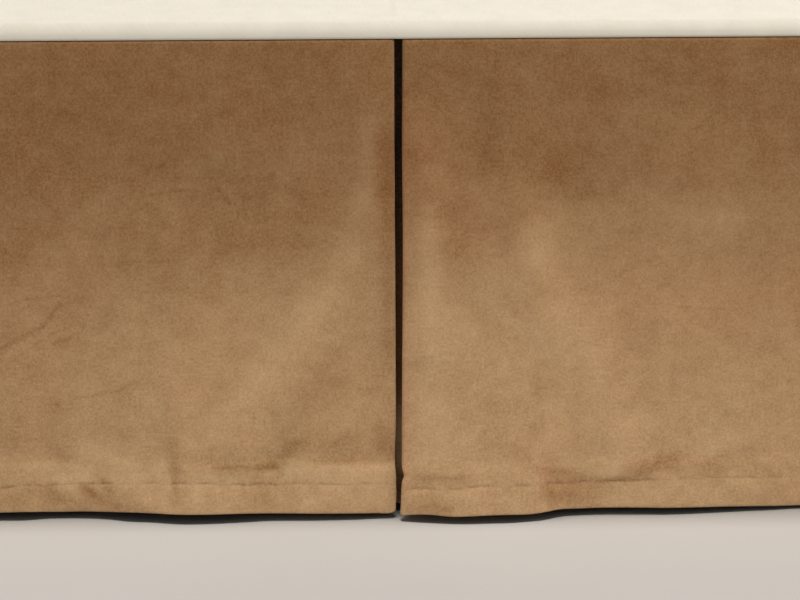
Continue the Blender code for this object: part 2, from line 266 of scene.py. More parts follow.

# each drop, in millimetres. length: its finished length; steps: the grid's, from the slit outwards (up to,
# step); seed: of what is left to chance; seenFrom: by how much its places are drawn together in the tables,
# at the edge and for each millimetre up; hem: its lower edge (along, out, up);
# folds: along, up, to along, to up, half width, rise; sewn: how high the stitches run (along, up);
# dashes: where they draw the cloth in most, which also sets the painted shade in their grooves (from, to,
# how much); hemStep: how proud the hem stands (along, proud); nap and shade: where the cloth is painted
# lighter or darker, partly nap and partly painted light and shade of its folds, puckers and hem (along, up,
# to along, to up, half width, change); warmth: where the colour is warmer or cooler, in the same way
footDrop = {
    "node": "foot_drop",
    "length": 1514,
    "steps": [(310, 2.8), (747, 8.5)],
    "seed": 3.0,
    "seenFrom": (1.037, 0.000107),
    "hem": [
        (-757, 8, 5.0), (-650, 14, 4.6), (-530, 5, 5.4), (-410, 9, 4.8), (-330, 5, 5.4), (-291, 6, 6.3),
        (-272, 6, 6.6), (-254, 2.5, 5.2), (-225, 3, 5.5), (-211, 6, 6.0), (-196, 11, 7.3),
        (-180, 13.5, 7.3), (-160, 17.5, 7.6), (-140, 16.8, 7.4), (-116, 13.8, 6.9), (-94, 10.8, 5.9),
        (-65, 11.5, 5.5), (-35, 10.6, 4.9), (-16, 8.6, 4.2), (-8, 8.3, 3.8), (-3, 8, 4.6), (3, 15, 4.4),
        (8, 16.5, 5.4), (16, 18.6, 6.3), (24, 20, 6.4), (38, 22.2, 5.6), (52, 22.8, 6.0), (66, 21.8, 6.3),
        (81, 21, 6.4), (92, 18.8, 5.7), (101, 17, 5.9), (109, 14.5, 6.1), (117, 11.2, 6.0), (126, 7.4, 5.4),
        (143, 5.4, 5.4), (169, 5, 5.4), (198, 6.2, 5.3), (227, 4.2, 4.7), (257, 0.6, 3.7), (275, -1, 3.0),
        (291, -3, 2.4), (330, -2, 3.0), (410, 8, 4.6), (530, 4, 5.2), (650, 13, 4.6), (757, 8, 5.0),
    ],
    "folds": [
        (-20, 366, -24, 230, 16, 2.0), (-14, 205, -112, 50, 18, 4.0), (-26, 125, -92, 45, 13, -3.0),
        (-250, 300, -140, 240, 30, -2.0), (-300, 120, -235, 160, 12, -1.5), (12, 300, 13, 130, 13, 2.5),
        (56, 320, 50, 220, 20, -2.5), (84, 250, 112, 150, 18, 3.0), (112, 150, 165, 42, 22, 3.0),
        (118, 330, 112, 245, 20, -2.0), (210, 270, 250, 240, 34, 2.5), (112, 34, 116, 6, 9, -2.5),
        (-178, 62, -182, 16, 6, -2.4), (-450, 360, -520, 120, 30, 3.0), (-640, 340, -600, 90, 28, -2.5),
        (430, 350, 480, 110, 30, 3.0), (640, 345, 590, 120, 28, -2.5),
    ],
    "sewn": [
        (-300, 19.5), (-287, 20), (-278, 21.8), (-261, 21.7), (-252, 22.4), (-243, 23), (-235, 23.1),
        (-226, 22.3), (-213, 22.9), (-195, 23.4), (-178, 24), (-165, 24.2), (-158, 24.9), (-140, 24.9),
        (-130, 24.4), (-116, 23.6), (-108, 22.9), (-99, 24), (-92, 22.9), (-70, 24.5), (-49, 23.5),
        (-16, 24.2), (8, 21), (14, 20.4), (30, 20.6), (51, 22.8), (66, 23.7), (78, 22.4), (87, 23.2),
        (108, 22.4), (117, 21), (130, 21.4), (139, 22.2), (165, 22), (183, 22.9), (209, 23.8), (235, 24.4),
        (262, 23.6), (290, 24), (330, 23), (400, 22),
    ],
    "dashes": [
        (-291, -281, 0.9), (-274, -269, 0.5), (-266, -260, 0.7), (-256, -251, 0.9), (-236, -232, 0.6),
        (-228, -222, 1.1), (-217, -210, 1.2), (-183, -176, 0.5), (-166, -155, 0.8), (-145, -139, 0.9),
        (-136, -133, 0.6), (-119, -113, 0.9), (-109, -101, 0.9), (-96, -90, 0.8), (-84, -78, 0.5),
        (-75, -68, 0.4), (-58, -43, 0.55), (-28, -23, 0.25), (9, 20, 0.8), (22, 26, 0.5), (35, 46, 0.6),
        (49, 57, 0.6), (60, 66, 0.5), (85, 94, 0.8), (107, 116, 1.0), (119, 126, 0.6), (130, 138, 0.9),
        (145, 152, 0.7), (154, 165, 0.9), (168, 175, 0.9), (177, 186, 0.9), (205, 212, 0.4),
        (226, 232, 0.3), (240, 249, 0.3), (254, 263, 0.5), (272, 281, 0.4),
    ],
    "hemStep": [
        (-300, 0.5), (-240, 0.6), (-175, 0.5), (-140, 1.1), (-80, 1.2), (-10, 1.1), (10, 0.5), (60, 0.3),
        (120, 0.5), (190, 1.0), (250, 0.8), (300, 0.5),
    ],
    # strokes of nap together with painted light and shade of the folds, puckers and hem
    "napAndShade": [
        (18, 225, 22, 150, 11, 0.22), (22, 150, 24, 50, 14, 0.18), (100, 212, 100, 195, 13, 0.22),
        (100, 195, 82, 182, 14, 0.15), (42, 145, 44, 128, 14, 0.14), (41, 225, 43, 190, 9, -0.12),
        (60, 280, 140, 262, 25, -0.14), (205, 228, 238, 226, 18, 0.17), (105, 135, 140, 130, 16, 0.13),
        (103, 112, 103, 60, 5, -0.10), (112, 30, 140, 20, 12, -0.24), (142, 42, 156, 34, 7, 0.20),
        (165, 32, 190, 40, 6, -0.1), (190, 42, 255, 42, 6, -0.14), (150, 12, 235, 14, 8, 0.10),
        (226, 58, 232, 54, 10, 0.12), (160, 245, 280, 255, 30, -0.05), (60, 240, 150, 130, 60, 0.06),
        (250, 150, 285, 120, 25, -0.08), (180, 140, 240, 150, 20, -0.08), (130, 90, 170, 60, 16, 0.08),
        (-8, 285, -7, 130, 8, -0.28), (-8, 130, -8, 60, 8, -0.15), (-10, 62, -4, 50, 8, -0.22),
        (-24, 300, -26, 240, 8, 0.18), (-26, 240, -38, 200, 9, 0.15), (-38, 200, -60, 160, 13, 0.18),
        (-60, 160, -100, 105, 13, 0.18), (-100, 105, -135, 65, 10, 0.14), (-42, 125, -60, 92, 10, -0.14),
        (-52, 78, -38, 76, 8, 0.10), (-145, 40, -100, 36, 6, -0.18), (-100, 36, -78, 52, 7, -0.22),
        (-78, 55, -8, 54, 6, -0.14), (-165, 60, -164, 36, 6, -0.26), (-164, 36, -163, 12, 3.5, -0.2),
        (-215, 46, -180, 30, 14, 0.26), (-270, 36, -215, 30, 8, 0.18), (-152, 55, -150, 12, 6, 0.14),
        (-75, 28, -8, 26, 12, 0.14), (-290, 14, -215, 12, 7, -0.18), (-290, 280, -285, 200, 16, -0.08),
        (-110, 270, -60, 240, 25, -0.11), (-215, 190, -170, 160, 24, -0.11),
        (-250, 240, -120, 220, 60, -0.08), (-280, 230, -285, 90, 36, -0.11),
        (-230, 150, -200, 110, 30, -0.05), (-130, 235, -60, 225, 24, -0.08), (-90, 66, -14, 70, 15, -0.12),
        (104, 26, 136, 16, 12, -0.05), (12, 16, 30, 16, 10, -0.05), (-290, 60, -240, 80, 24, -0.06),
        (90, 290, 240, 290, 30, 0.04), (260, 210, 290, 150, 20, -0.07), (-130, 280, -85, 282, 18, 0.14),
        (-285, 270, -200, 258, 12, -0.06), (-182, 230, -160, 190, 14, -0.08), (10, 270, 10, 215, 7, -0.12),
        (-10, 250, -8, 190, 9, -0.1), (42, 235, 70, 215, 14, -0.13), (75, 270, 115, 255, 14, -0.11),
        (26, 205, 28, 170, 9, 0.11), (150, 260, 190, 245, 12, 0.07), (190, 245, 240, 232, 14, 0.06),
        (170, 300, 215, 298, 12, 0.1), (26, 150, 28, 142, 6, -0.08), (-250, 133, -240, 138, 7, -0.09),
        (104, 150, 104, 130, 10, 0.06), (222, 205, 240, 190, 12, 0.06), (280, 190, 282, 165, 10, -0.08),
        (-75, 52, -45, 56, 10, -0.1), (-290, 62, -250, 62, 14, -0.12), (-290, 130, -255, 95, 20, -0.1),
        (-190, 215, -80, 215, 16, -0.09), (115, 226, 240, 226, 14, 0.08), (-60, 134, -35, 134, 10, 0.08),
        (-290, 205, -250, 160, 20, -0.06), (-150, 290, -90, 290, 10, -0.08),
        (-285, 284, -262, 268, 14, -0.08), (-240, 262, -165, 264, 14, -0.08),
        (-185, 192, -150, 176, 16, -0.1), (-240, 160, -200, 148, 16, -0.13),
        (-285, 136, -225, 132, 12, -0.06), (-130, 208, -66, 206, 13, -0.09), (-44, 98, -24, 97, 11, -0.09),
        (112, 250, 140, 246, 11, -0.09), (20, 26, 44, 26, 6, -0.06), (-135, 283, -115, 281, 10, 0.06),
        (150, 70, 230, 80, 22, 0.05), (240, 226, 285, 224, 14, 0.07), (70, 118, 88, 114, 12, 0.06),
        (-16, 240, -15, 140, 6, 0.1), (-40, 205, -64, 158, 8, -0.08), (164, 156, 168, 150, 7, -0.12),
        (132, 252, 144, 248, 7, 0.1), (70, 150, 88, 146, 9, 0.1), (40, 208, 58, 190, 10, -0.08),
        (72, 210, 84, 206, 7, 0.08), (-90, 250, -78, 240, 7, 0.08),
        # painted light and shade of the hem's puckers
        (-168, 67, -161, 60, 6, 0.15), (-155, 44, -92, 41, 4.5, -0.15), (-92, 44, -82, 48, 6, -0.15),
        (-50, 51, -6, 50, 6, -0.12), (112, 30, 112, 2, 3.5, -0.2), (116, 16, 146, 14, 6, -0.12),
        (130, 34, 160, 32, 4.5, 0.14), (155, 26, 190, 37, 3.5, -0.14), (215, 38, 258, 42, 4, -0.1),
        (-254, 40, -236, 22, 4.5, 0.12), (-232, 24, -222, 13, 3.5, -0.1), (-218, 29, -186, 27, 6, 0.1),
        (-215, 8, -182, 6, 5, -0.09), (-143, 28, -125, 26, 6, 0.1), (-268, 22, -252, 19, 4, -0.24),
        (-255, 25, -247, 15, 3.5, -0.3), (-229, 24, -219, 16, 3, -0.45), (-212, 22, -209, 19, 2.2, -0.38),
        (-215, 13, -206, 9, 4.5, -0.24), (-217, 34, -213, 27, 3, -0.15), (-206, 30, -204, 27, 4, 0.1),
        (-221, 7, -212, 5, 4, 0.14), (-202, 7, -178, 3, 4.5, -0.1), (-98, 20, -92, 10, 4, -0.12),
        (-6, 31, -4, 15, 3, -0.18), (-40, 37, -8, 37, 5, 0.08), (202, 44, 174, 29, 4.5, -0.22),
        (227, 37, 236, 31, 4, -0.12), (147, 24, 172, 24, 2.5, -0.16), (18, 6, 38, 3, 3.5, -0.2),
        (106, 22, 115, 12, 4, -0.14), (16, 27, 46, 27, 1.6, -0.14), (-244, 30, -228, 26, 5, 0.14),
        (-203, 38, -184, 26, 8, 0.1), (-212, 39, -196, 36, 4, -0.14), (-113, 15, -100, 12, 6, -0.12),
        (-174, 14, -168, 4, 5, 0.14), (-262, 8, -215, 6, 6, -0.12), (174, 29, 160, 27, 3.5, -0.12),
        (202, 34, 238, 32, 7, -0.1), (216, 46, 229, 46, 7, 0.12), (151, 9, 176, 8, 6, 0.14),
        (216, 12, 229, 11, 8, 0.12), (10, 19, 98, 17, 5, 0.08), (8, 5, 34, 3, 4, -0.22),
        (60, 56, 98, 36, 6, -0.12), (12, 28, 60, 28.5, 1.8, -0.14), (107, 32, 140, 30, 5, -0.14),
        (108, 14, 122, 8, 6, -0.16), (146, 30, 152, 28, 5, 0.14), (-168, 56, -164.5, 36, 4, -0.22),
        (-163, 27, -161.5, 13, 3, -0.18), (-80, 32, -55, 31, 6, 0.1), (-42, 31, -12, 31, 6, 0.1),
        (-141, 31, -134, 30, 4, 0.16), (-230, 24, -222, 18, 3, -0.25), (-220, 33, -217, 30, 2.5, -0.2),
        (-216, 27, -212, 22, 2.8, -0.3), (-246, 28, -234, 16, 3.5, 0.16), (-205, 26, -200, 22, 3.5, 0.14),
        (-190, 50, -186, 38, 4, -0.12), (-180, 46, -172, 32, 4, 0.1), (-252, 55, -238, 45, 3.5, -0.16),
        (-236, 43, -207, 39.5, 2, -0.14), (-269, 46, -254, 47, 4, -0.1), (-84, 46, -72, 57, 3.5, -0.16),
        (-72, 57, -56, 64, 3.5, -0.12), (-95, 38, -84, 42, 3, -0.2), (-90, 28, -85, 35, 2.5, -0.2),
        (-108, 25, -91, 24.5, 2, -0.2), (-121, 25, -114, 24.5, 2, -0.2), (-114, 20, -100, 17, 4, -0.12),
        (-83, 23, -74, 16, 3, -0.1), (-291, 21.5, -280, 24, 2.2, -0.25), (8, 29, 50, 28.5, 3, -0.14),
        (10, 18, 60, 19.5, 1.8, 0.16), (74, 58, 94, 43, 5, -0.16), (94, 43, 101, 34, 2.5, -0.1),
        (96, 74, 97, 62, 4.5, -0.12), (107, 34, 126, 32, 2.2, -0.2), (107, 18, 112, 8, 3.5, -0.2),
        (122, 16, 134, 12, 3, -0.18), (139, 28, 135, 16, 2.5, 0.18), (147, 24, 182, 29, 2.5, -0.14),
        (162, 35, 180, 38, 2.5, -0.14), (180, 38, 202, 42, 3, -0.14), (194, 56, 190, 42, 3, -0.14),
        (222, 36, 236, 33, 3.5, -0.14), (232, 42, 254, 48, 3, -0.12), (269, 32, 274, 26, 3, -0.16),
        (130, 62, 142, 56, 10, 0.12), (57, 62, 66, 52, 7, 0.06), (-12, 76, -10, 66, 7, 0.1),
        (-10, 54, -5, 46, 6, -0.1), (-178, 66, -176, 52, 5, 0.08), (4, 20, 30, 16, 8, -0.18),
        (-60, 42.5, -6, 43.5, 4, -0.22), (-90, 37, -84, 36, 4, -0.12), (-160, 37, -136, 37, 3.5, -0.14),
        (140, 31, 176, 30, 3.5, 0.2), (185, 47, 205, 47, 5, 0.1), (188, 34, 200, 34, 4, -0.14),
        (62, 17, 78, 17, 4, -0.15), (80, 18, 105, 18, 5, -0.1), (107, 14, 128, 10, 6, -0.12),
        (-198, 14, -186, 9, 6, -0.14), (-232, 12, -222, 8, 4.5, 0.16), (-290, 16, -272, 16, 6, -0.14),
        (-68, 11, -12, 10, 5, 0.14), (-232, 64, -204, 60, 9, -0.14), (245, 56, 290, 54, 8, 0.12),
        (120, 36, 140, 34, 5, 0.12), (258, 19, 268, 18, 5, 0.15),
        # painted shade and highlight along the edge of the turned up cloth
        (-134, 37.5, -90, 37, 2.0, -0.46), (-90, 37, -80, 40, 2.0, -0.18), (-72, 42, -5, 40.5, 2.0, -0.16),
        (-108, 33.5, -94, 33, 1.0, 0.22), (-247, 46, -228, 42, 3.5, -0.14),
    ],
    "warmth": [
        (20, 275, 60, 215, 28, 0.05), (60, 215, 110, 180, 20, 0.02), (165, 160, 285, 170, 34, 0.05),
        (-285, 165, -230, 180, 34, 0.045), (-145, 268, -100, 258, 24, -0.045), (108, 32, 140, 14, 8, 0.04),
        (5, 330, 5, 20, 2.5, 0.07), (-112, 64, -108, 58, 6, 0.035), (-66, 64, -56, 56, 6, 0.03),
        (-230, 60, -90, 45, 26, -0.015), (-100, 38, -84, 38, 5, -0.04),
    ],
}
leftDrop = {
    "node": "left_drop",
    "length": 2014.3,
    "steps": [(60, 4), (997.15, 8)],
    "seed": 11.0,
    "seenFrom": (1, 0),
    "hem": [
        (-1010, 8, 5.0), (-860, 13, 4.6), (-700, 5, 5.2), (-560, 12, 4.8), (-390, 4, 5.4), (-240, 11, 4.8),
        (-90, 5, 4.0), (60, 6, 3.8), (190, 13, 4.6), (350, 4, 5.2), (500, 10, 4.8), (680, 5, 5.4),
        (840, 14, 4.6), (1010, 7, 5.0),
    ],
    "folds": [
        (-22, 360, -30, 190, 22, 2.5), (26, 340, 40, 170, 22, 2.5), (-180, 350, -260, 110, 32, 3.0),
        (-520, 340, -470, 120, 34, -2.5), (-800, 345, -860, 110, 34, 3.0), (220, 345, 300, 130, 32, -2.5),
        (560, 350, 500, 120, 34, 3.0), (860, 340, 900, 130, 34, -2.5),
    ],
    "sewn": [(-1010, 22), (0, 22), (1010, 22)],
    "dashes": [],
    "napAndShade": [],
    "warmth": [],
}
rightDrop = {
    "node": "right_drop",
    "length": 2014.3,
    "steps": [(60, 4), (997.15, 8)],
    "seed": 19.0,
    "seenFrom": (1, 0),
    "hem": [
        (-1010, 7, 5.0), (-890, 4, 5.4), (-730, 12, 4.6), (-590, 5, 5.2), (-440, 9, 4.8), (-270, 4, 5.2),
        (-110, 9, 4.2), (40, 5, 3.8), (170, 5, 4.4), (300, 13, 4.6), (470, 5, 5.4), (620, 11, 4.8),
        (790, 4, 5.2), (910, 12, 4.6), (1010, 8, 5.0),
    ],
    "folds": [
        (-24, 350, -34, 200, 22, 2.5), (22, 355, 30, 180, 22, 2.5), (-240, 345, -180, 120, 32, -2.5),
        (-620, 350, -690, 110, 34, 3.0), (-900, 345, -860, 130, 34, -2.5), (260, 350, 200, 120, 34, 3.0),
        (540, 345, 610, 130, 34, -2.5), (840, 350, 800, 120, 34, 3.0),
    ],
    "sewn": [(-1010, 22), (0, 22), (1010, 22)],
    "dashes": [],
    "napAndShade": [],
    "warmth": [],
}


def stripColumns(drop):
    # the cloth's section in plan, from its left end to its right end, one row a column of the grid:
    # along, out, face along, face out, how far it follows the panel, side turn angle, side run
    c = cloth
    halfLength = drop["length"] / 2
    edge = (c["slit"] + c["thickness"]) / 2 + c["frontTurn"]
    back = edge + c["pleatDepth"]
    returnOut = -2 * c["frontTurn"]
    underlayOut = returnOut - 2 * c["backTurn"]
    low = c["underlayFollows"]
    under = spaced(0, 3 * c["slitStep"], c["slitStep"]) + spaced(3 * c["slitStep"], back, c["hiddenStep"])[1:]
    half = [(place, underlayOut, 0, 1, low, 90, 0) for place in under]
    for across, out in turns(spaced(-90, 90, 30)[1:-1]):
        place = back + c["backTurn"] * across
        half.append((place, underlayOut + c["backTurn"] * (1 + out), -across, -out, low, 90, 0))
    for place in spaced(back, edge, c["hiddenStep"]):
        share = (place - edge) / c["pleatDepth"]
        half.append((place, returnOut, 0, -1, 1 + share * (low - 1), 90, 0))
    for across, out in turns(spaced(-90, 90, 20)[1:-1]):
        place = edge - c["frontTurn"] * across
        half.append((place, c["frontTurn"] * (out - 1), -across, out, 1, 90, 0))
    here = edge
    for reach, step in drop["steps"] + [(halfLength - 2 * c["endStep"], c["endStep"])]:
        half += [(place, 0, 0, 1, 1, 90, 0) for place in spaced(here, reach, step)[:-1]]
        here = reach
    half += [(halfLength, 0, 0, 1, 1, angle, 0) for angle in spaced(90, -90, 30)]
    half += [(halfLength, 0, 0, 1, 1, -90, run) for run in spaced(0, c["sideHem"], 3)[1:]]
    return np.array([(-a, o, -fa, fo, f, t, r) for a, o, fa, fo, f, t, r in half[:0:-1]] + half)


def stripRows(dropHeight):
    # the grid's rows from the seam down the face, round the hem's edge and up behind it:
    # height over the edge, how far behind the face, how far the seam turns in
    c = cloth
    rise = c["thickness"] / 2
    rows = []
    for across, down in turns(c["seamRows"]):
        rows.append((dropHeight - rise - c["seamTurn"] * (1 - down), 0, c["seamTurn"] * (1 - across)))
    here = dropHeight - rise - c["seamTurn"]
    for lower, step in c["faceRows"]:
        rows += [(height, 0, 0) for height in spaced(here, lower, step)[:-1]]
        here = lower
    rows += [(height, 0, 0) for height in (here, *c["edgeRows"])]
    radius = c["layerGap"] / 2
    for across, down in turns(spaced(0, 180, 36)):
        rows.append((rise + radius * (1 - down), radius * (1 - across), 0))
    for height in (*c["backRows"], c["allowance"]):
        drawn = (c["layerGap"] - c["layerGapStitched"]) * bump(height - c["stitchLine"], 2.5)
        rows.append((height, c["layerGap"] - drawn, 0))
    return np.array(rows)


def hangCloth(drop):
    # every column at every row: where the cloth's middle is, in millimetres, facing -Y
    c = cloth
    dropHeight = c["dropTop"] - min(row[2] for row in drop["hem"])
    columns, rows = stripColumns(drop), stripRows(dropHeight)
    base, out, faceAlong, faceOut, follows, turn, run = (col[None, :] for col in columns.T)
    height, behind, inward = (row[:, None] for row in rows.T)
    side = np.sign(base) + (base == 0)
    halfLength = drop["length"] / 2

    # the side hems turn back round whatever the bottom hem has left in the fold
    low = 1 - smoothStep(c["allowance"], c["allowance"] + c["sideEases"], height)
    radius = c["sideTurn"] + (c["sideTurnLow"] - c["sideTurn"]) * low
    angle = np.radians(turn)
    ends = np.abs(base) > halfLength - 0.01
    endAlong = side * (halfLength - radius + radius * np.cos(angle) - run)
    along = np.where(ends, endAlong, base)
    out = np.where(ends, radius * (np.sin(angle) - 1), out)
    faceAlong = np.where(ends, side * np.cos(angle), faceAlong)
    faceOut = np.where(ends, np.sin(angle), faceOut)
    along, height = np.broadcast_arrays(along, height)

    # the slit's edges lean to and fro
    lean = np.where(side > 0, curveThrough(slitEdges, 2, height), curveThrough(slitEdges, 1, height))
    lean = lean * bump(np.abs(along) - c["slit"] / 2, c["slitReach"]) * smoothStep(0.99, 1, follows)

    # how far it stands out: the hem's sway, the folds and the hem's own thickness
    shareUp = height / dropHeight
    hang = np.clip(1 - shareUp, 0, 1) ** c["hangPower"]
    fade = np.clip((1 - shareUp) / c["topFade"], 0, 1)
    hemAlong = seenAlong(drop, along, 0)
    bulge = curveThrough(drop["hem"], 1, hemAlong) * hang
    bulge = bulge + fade * strokes(drop["folds"], seenAlong(drop, along, height), height)
    least = -c["hangsBack"] * hang
    bulge = least + 0.5 * (bulge - least + np.sqrt((bulge - least) ** 2 + (c["softLimit"] * fade) ** 2))
    bulge += hemRelief(drop, along, height) + clothUneven(drop, along, height) * fade
    lift = c["underlayLift"] * (1 - follows) / (1 - c["underlayFollows"])
    hemUp = curveThrough(drop["hem"], 2, hemAlong) + lift
    up = hemUp + shareUp * (c["dropTop"] - hemUp)
    out = out + follows * bulge - inward
    placeAlong = along + lean - behind * faceAlong
    placeOut = out - behind * faceOut
    return np.stack([placeAlong, -placeOut, up], -1), along, height, columns


def sewnUp(drop, along):
    # how high over the edge the hem's stitches run
    return curveThrough(drop["sewn"], 1, seenAlong(drop, along, cloth["stitchLine"]))


# the low relief of the doubled hem and of the cloth, in millimetres
relief = {
    "tableEnds": (290, 330),  # out here the hem's tables give way to chance
    "step": (0.55, 0.9, 70),  # how proud the hem stands by chance: mean, change, wave
    "pull": (0.25, 1.3, 16),  # how hard its stitches draw by chance: least, change, wave
    "leastPull": 0.12,  # between the dashes of the table
    "dashEnds": 1.5,  # over how far a dash begins and ends
    "stepEnds": (-6, 2),  # where the step fades, from the turned up cloth's edge
    "hollow": (0.55, 5, 6),  # the dip over that edge: share of the step, how far over, half width
    "groove": 1.3,  # half width of the line of stitches
    "dip": (0.5, 5),  # the cloth round it: depth, half width
    "belly": 0.35,  # how far the hem rounds out below it
    "pucker": (12, 22, 3, 13),  # wave, how tall, how far under the stitches, half width
    "puckerLean": 0.35,  # how far the puckers go aside as they go up
    "uneven": [(0.9, 70, 110, 21), (0.16, 17, 22, 31)],  # height, wave, how tall, seed
}


def hemRelief(drop, along, height):
    # the doubled cloth stands a little proud, and the stitches draw it in unevenly
    r = relief
    seed = drop["seed"]
    place = along[:1]
    mean, change, wave = r["step"]
    step = mean + change * lineNoise(place, wave, seed)
    least, change, wave = r["pull"]
    pull = least + change * np.clip(lineNoise(place, wave, seed + 5), 0, 1)
    if drop["dashes"]:
        outer = smoothStep(*r["tableEnds"], np.abs(place))
        seen = seenAlong(drop, place, cloth["stitchLine"])
        step = step * outer + curveThrough(drop["hemStep"], 1, seen) * (1 - outer)
        drawn = r["leastPull"] + 0 * place
        soft = r["dashEnds"]
        for start, end, depth in drop["dashes"]:
            begun = smoothStep(start - soft, start + soft, seen)
            drawn = drawn + depth * begun * (1 - smoothStep(end - soft, end + soft, seen))
        pull = pull * outer + drawn * (1 - outer)
    overEdge = height - cloth["allowance"]
    proud = step * (1 - smoothStep(*r["stepEnds"], overEdge))
    share, over, halfWidth = r["hollow"]
    hollow = share * step * bump(overEdge - over, halfWidth)
    line = sewnUp(drop, along)
    groove = cloth["stitchDepth"] * pull * bump(height - line, r["groove"])
    depth, halfWidth = r["dip"]
    dip = depth * pull * bump(height - line, halfWidth)
    belly = r["belly"] * np.sin(np.pi * np.clip(height / line, 0, 1))
    wave, tall, under, halfWidth = r["pucker"]
    pucker = softNoise(along + r["puckerLean"] * height, height, wave, tall, seed + 9)
    return proud - hollow - groove - dip + belly + pucker * bump(height - line + under, halfWidth)


def clothUneven(drop, along, height):
    uneven = 0
    for rise, wave, tall, seed in relief["uneven"]:
        uneven = uneven + rise * softNoise(along, height, wave, tall, drop["seed"] + seed)
    return uneven


def napAndShadeOf(drop, along, height, columns, seen):
    # how light the cloth is painted at each point: painted shade darker towards the top, painted shade in the
    # stitches' grooves, the strokes of nap and of painted light and shade, and painted shade inside the pleat
    n = shadeDetails
    halfWidth, change = n["stitches"]
    shaded = [(start, 0, end, 0, halfWidth, change * depth) for start, end, depth in drop["dashes"]]
    # painted shade by height, darker towards the top, and painted shade in the stitches' grooves
    napAndShadeAt = curveThrough(shadeByHeight, 1, height)
    napAndShadeAt += strokes(shaded, seenAlong(drop, along, cloth["stitchLine"]), height - sewnUp(drop, along))
    napAndShadeAt += strokes(drop["napAndShade"], *seen)
    # painted shade inside the pleat: behind the panels' faces the cloth is painted dark, high up and at the
    # foot, and this painted shade is lifted a little everywhere, which leaves a less shaded piece low down
    inPleat = smoothStep(*n["pleatFrom"], -columns[:, 1])
    pleatShade = n["dark"] * smoothStep(*n["shadeFrom"], height)
    pleatShade = pleatShade + n["footShade"] * (1 - smoothStep(*n["footTo"], height)) - n["wornAndLit"]
    return napAndShadeAt - inPleat * pleatShade


def turnedPoints(points, side):
    # from the drop's own place, facing -Y about the middle, to its side of the bed
    outFace = cloth["thickness"] / 2
    made = points.copy()
    if side == 0:
        made[..., 1] = points[..., 1] - cloth["halfLength"] + outFace
        return made
    made[..., 0] = side * (cloth["halfWidth"] - outFace) - side * points[..., 1]
    made[..., 1] = side * points[..., 0] + cloth["cornerGap"] / 2
    return made


def hemLines(drop, placed, along, height, columns, side):
    # where the stitches run on the outside of each panel, and the way the cloth faces there
    front = height[: int(np.argmin(height[:, 0]))]
    row = np.argmin(np.abs(front - sewnUp(drop, along[: len(front)])), axis=0)
    facing = np.stack([columns[:, 2], -columns[:, 3], 0 * columns[:, 2]], -1)
    facing = turnedPoints(facing, side) - turnedPoints(np.zeros((1, 3)), side)
    line = placed[row, np.arange(len(columns))] + facing * (cloth["thickness"] / 2) * mm
    panel = (columns[:, 3] > -0.3) & (columns[:, 4] > 0.99) & (columns[:, 5] > -1)
    halves = [panel & (np.sign(columns[:, 0]) == sign) for sign in (-1, 1)]
    return [(line[keep], facing[keep]) for keep in halves]


def makeDrop(drop, name, side):
    # side: 0 for the foot, -1 and 1 for the left and right of the bed
    points, along, height, columns = hangCloth(drop)
    rowCount, columnCount = along.shape
    piece, column, row = makeGrid(columnCount, rowCount)
    row = rowCount - 1 - row
    mesh = piece.data

    # where each point is on the cloth itself and in the tables, for the patterns that follow them
    run = runAlong(points[rowCount // 2, :, :2])
    seen = seenPlaces(points)
    patterns = {
        "clothAlong": np.broadcast_to(run - run[-1] / 2, height.shape) * mm,
        "clothUp": height * mm,
        "panelAlong": seen[0] * mm,
        "panelUp": seen[1] * mm,
        "napAndShade": napAndShadeOf(drop, along, height, columns, seen),
        "warmth": strokes(drop["warmth"], *seen),
    }
    for label, values in patterns.items():
        attribute = mesh.attributes.new(label, "FLOAT", "POINT")
        attribute.data.foreach_set("value", values[row, column].astype(np.float32))

    placed = turnedPoints(points, side) * mm
    mesh.vertices.foreach_set("co", placed[row, column].ravel())
    mesh.update()
    thicken(piece, cloth["thickness"])
    finishPiece(piece, name, brushedTan, [drop["node"]])
    return piece, hemLines(drop, placed, along, height, columns, side)


print("drop shapes ready")


def addNode(tree, kind, inputs=None, **settings):
    made = tree.nodes.new(kind)
    for key, value in settings.items():
        setattr(made, key, value)
    for key, value in (inputs or {}).items():
        if isinstance(value, bpy.types.NodeSocket):
            tree.links.new(value, made.inputs[key])
        else:
            made.inputs[key].default_value = value
    return made


def calc(tree, operation, first, second=0.0, third=0.0):
    inputs = {0: first, 1: second, 2: third}
    return addNode(tree, "ShaderNodeMath", inputs, operation=operation).outputs[0]


def calcVector(tree, operation, inputs, output=0):
    return addNode(tree, "ShaderNodeVectorMath", inputs, operation=operation).outputs[output]


def joined(tree, inputs):
    return addNode(tree, "ShaderNodeCombineXYZ", inputs).outputs[0]


def clamped(tree, value, low=0.0, high=1.0):
    return addNode(tree, "ShaderNodeClamp", {0: value, 1: low, 2: high}).outputs[0]


def mapped(tree, value, low, high, atLow, atHigh):
    return addNode(tree, "ShaderNodeMapRange", {0: value, 1: low, 2: high, 3: atLow, 4: atHigh}).outputs[0]


def newGroup(name, inputs, outputs):
    group = bpy.data.node_groups.new(name, "ShaderNodeTree")
    for label, kind, value in inputs:
        socket = group.interface.new_socket(name=label, in_out="INPUT", socket_type="NodeSocket" + kind)
        if value is not None:
            socket.default_value = value
    for label in outputs:
        group.interface.new_socket(name=label, in_out="OUTPUT", socket_type="NodeSocketFloat")
    return group, group.nodes.new("NodeGroupInput").outputs, group.nodes.new("NodeGroupOutput").inputs


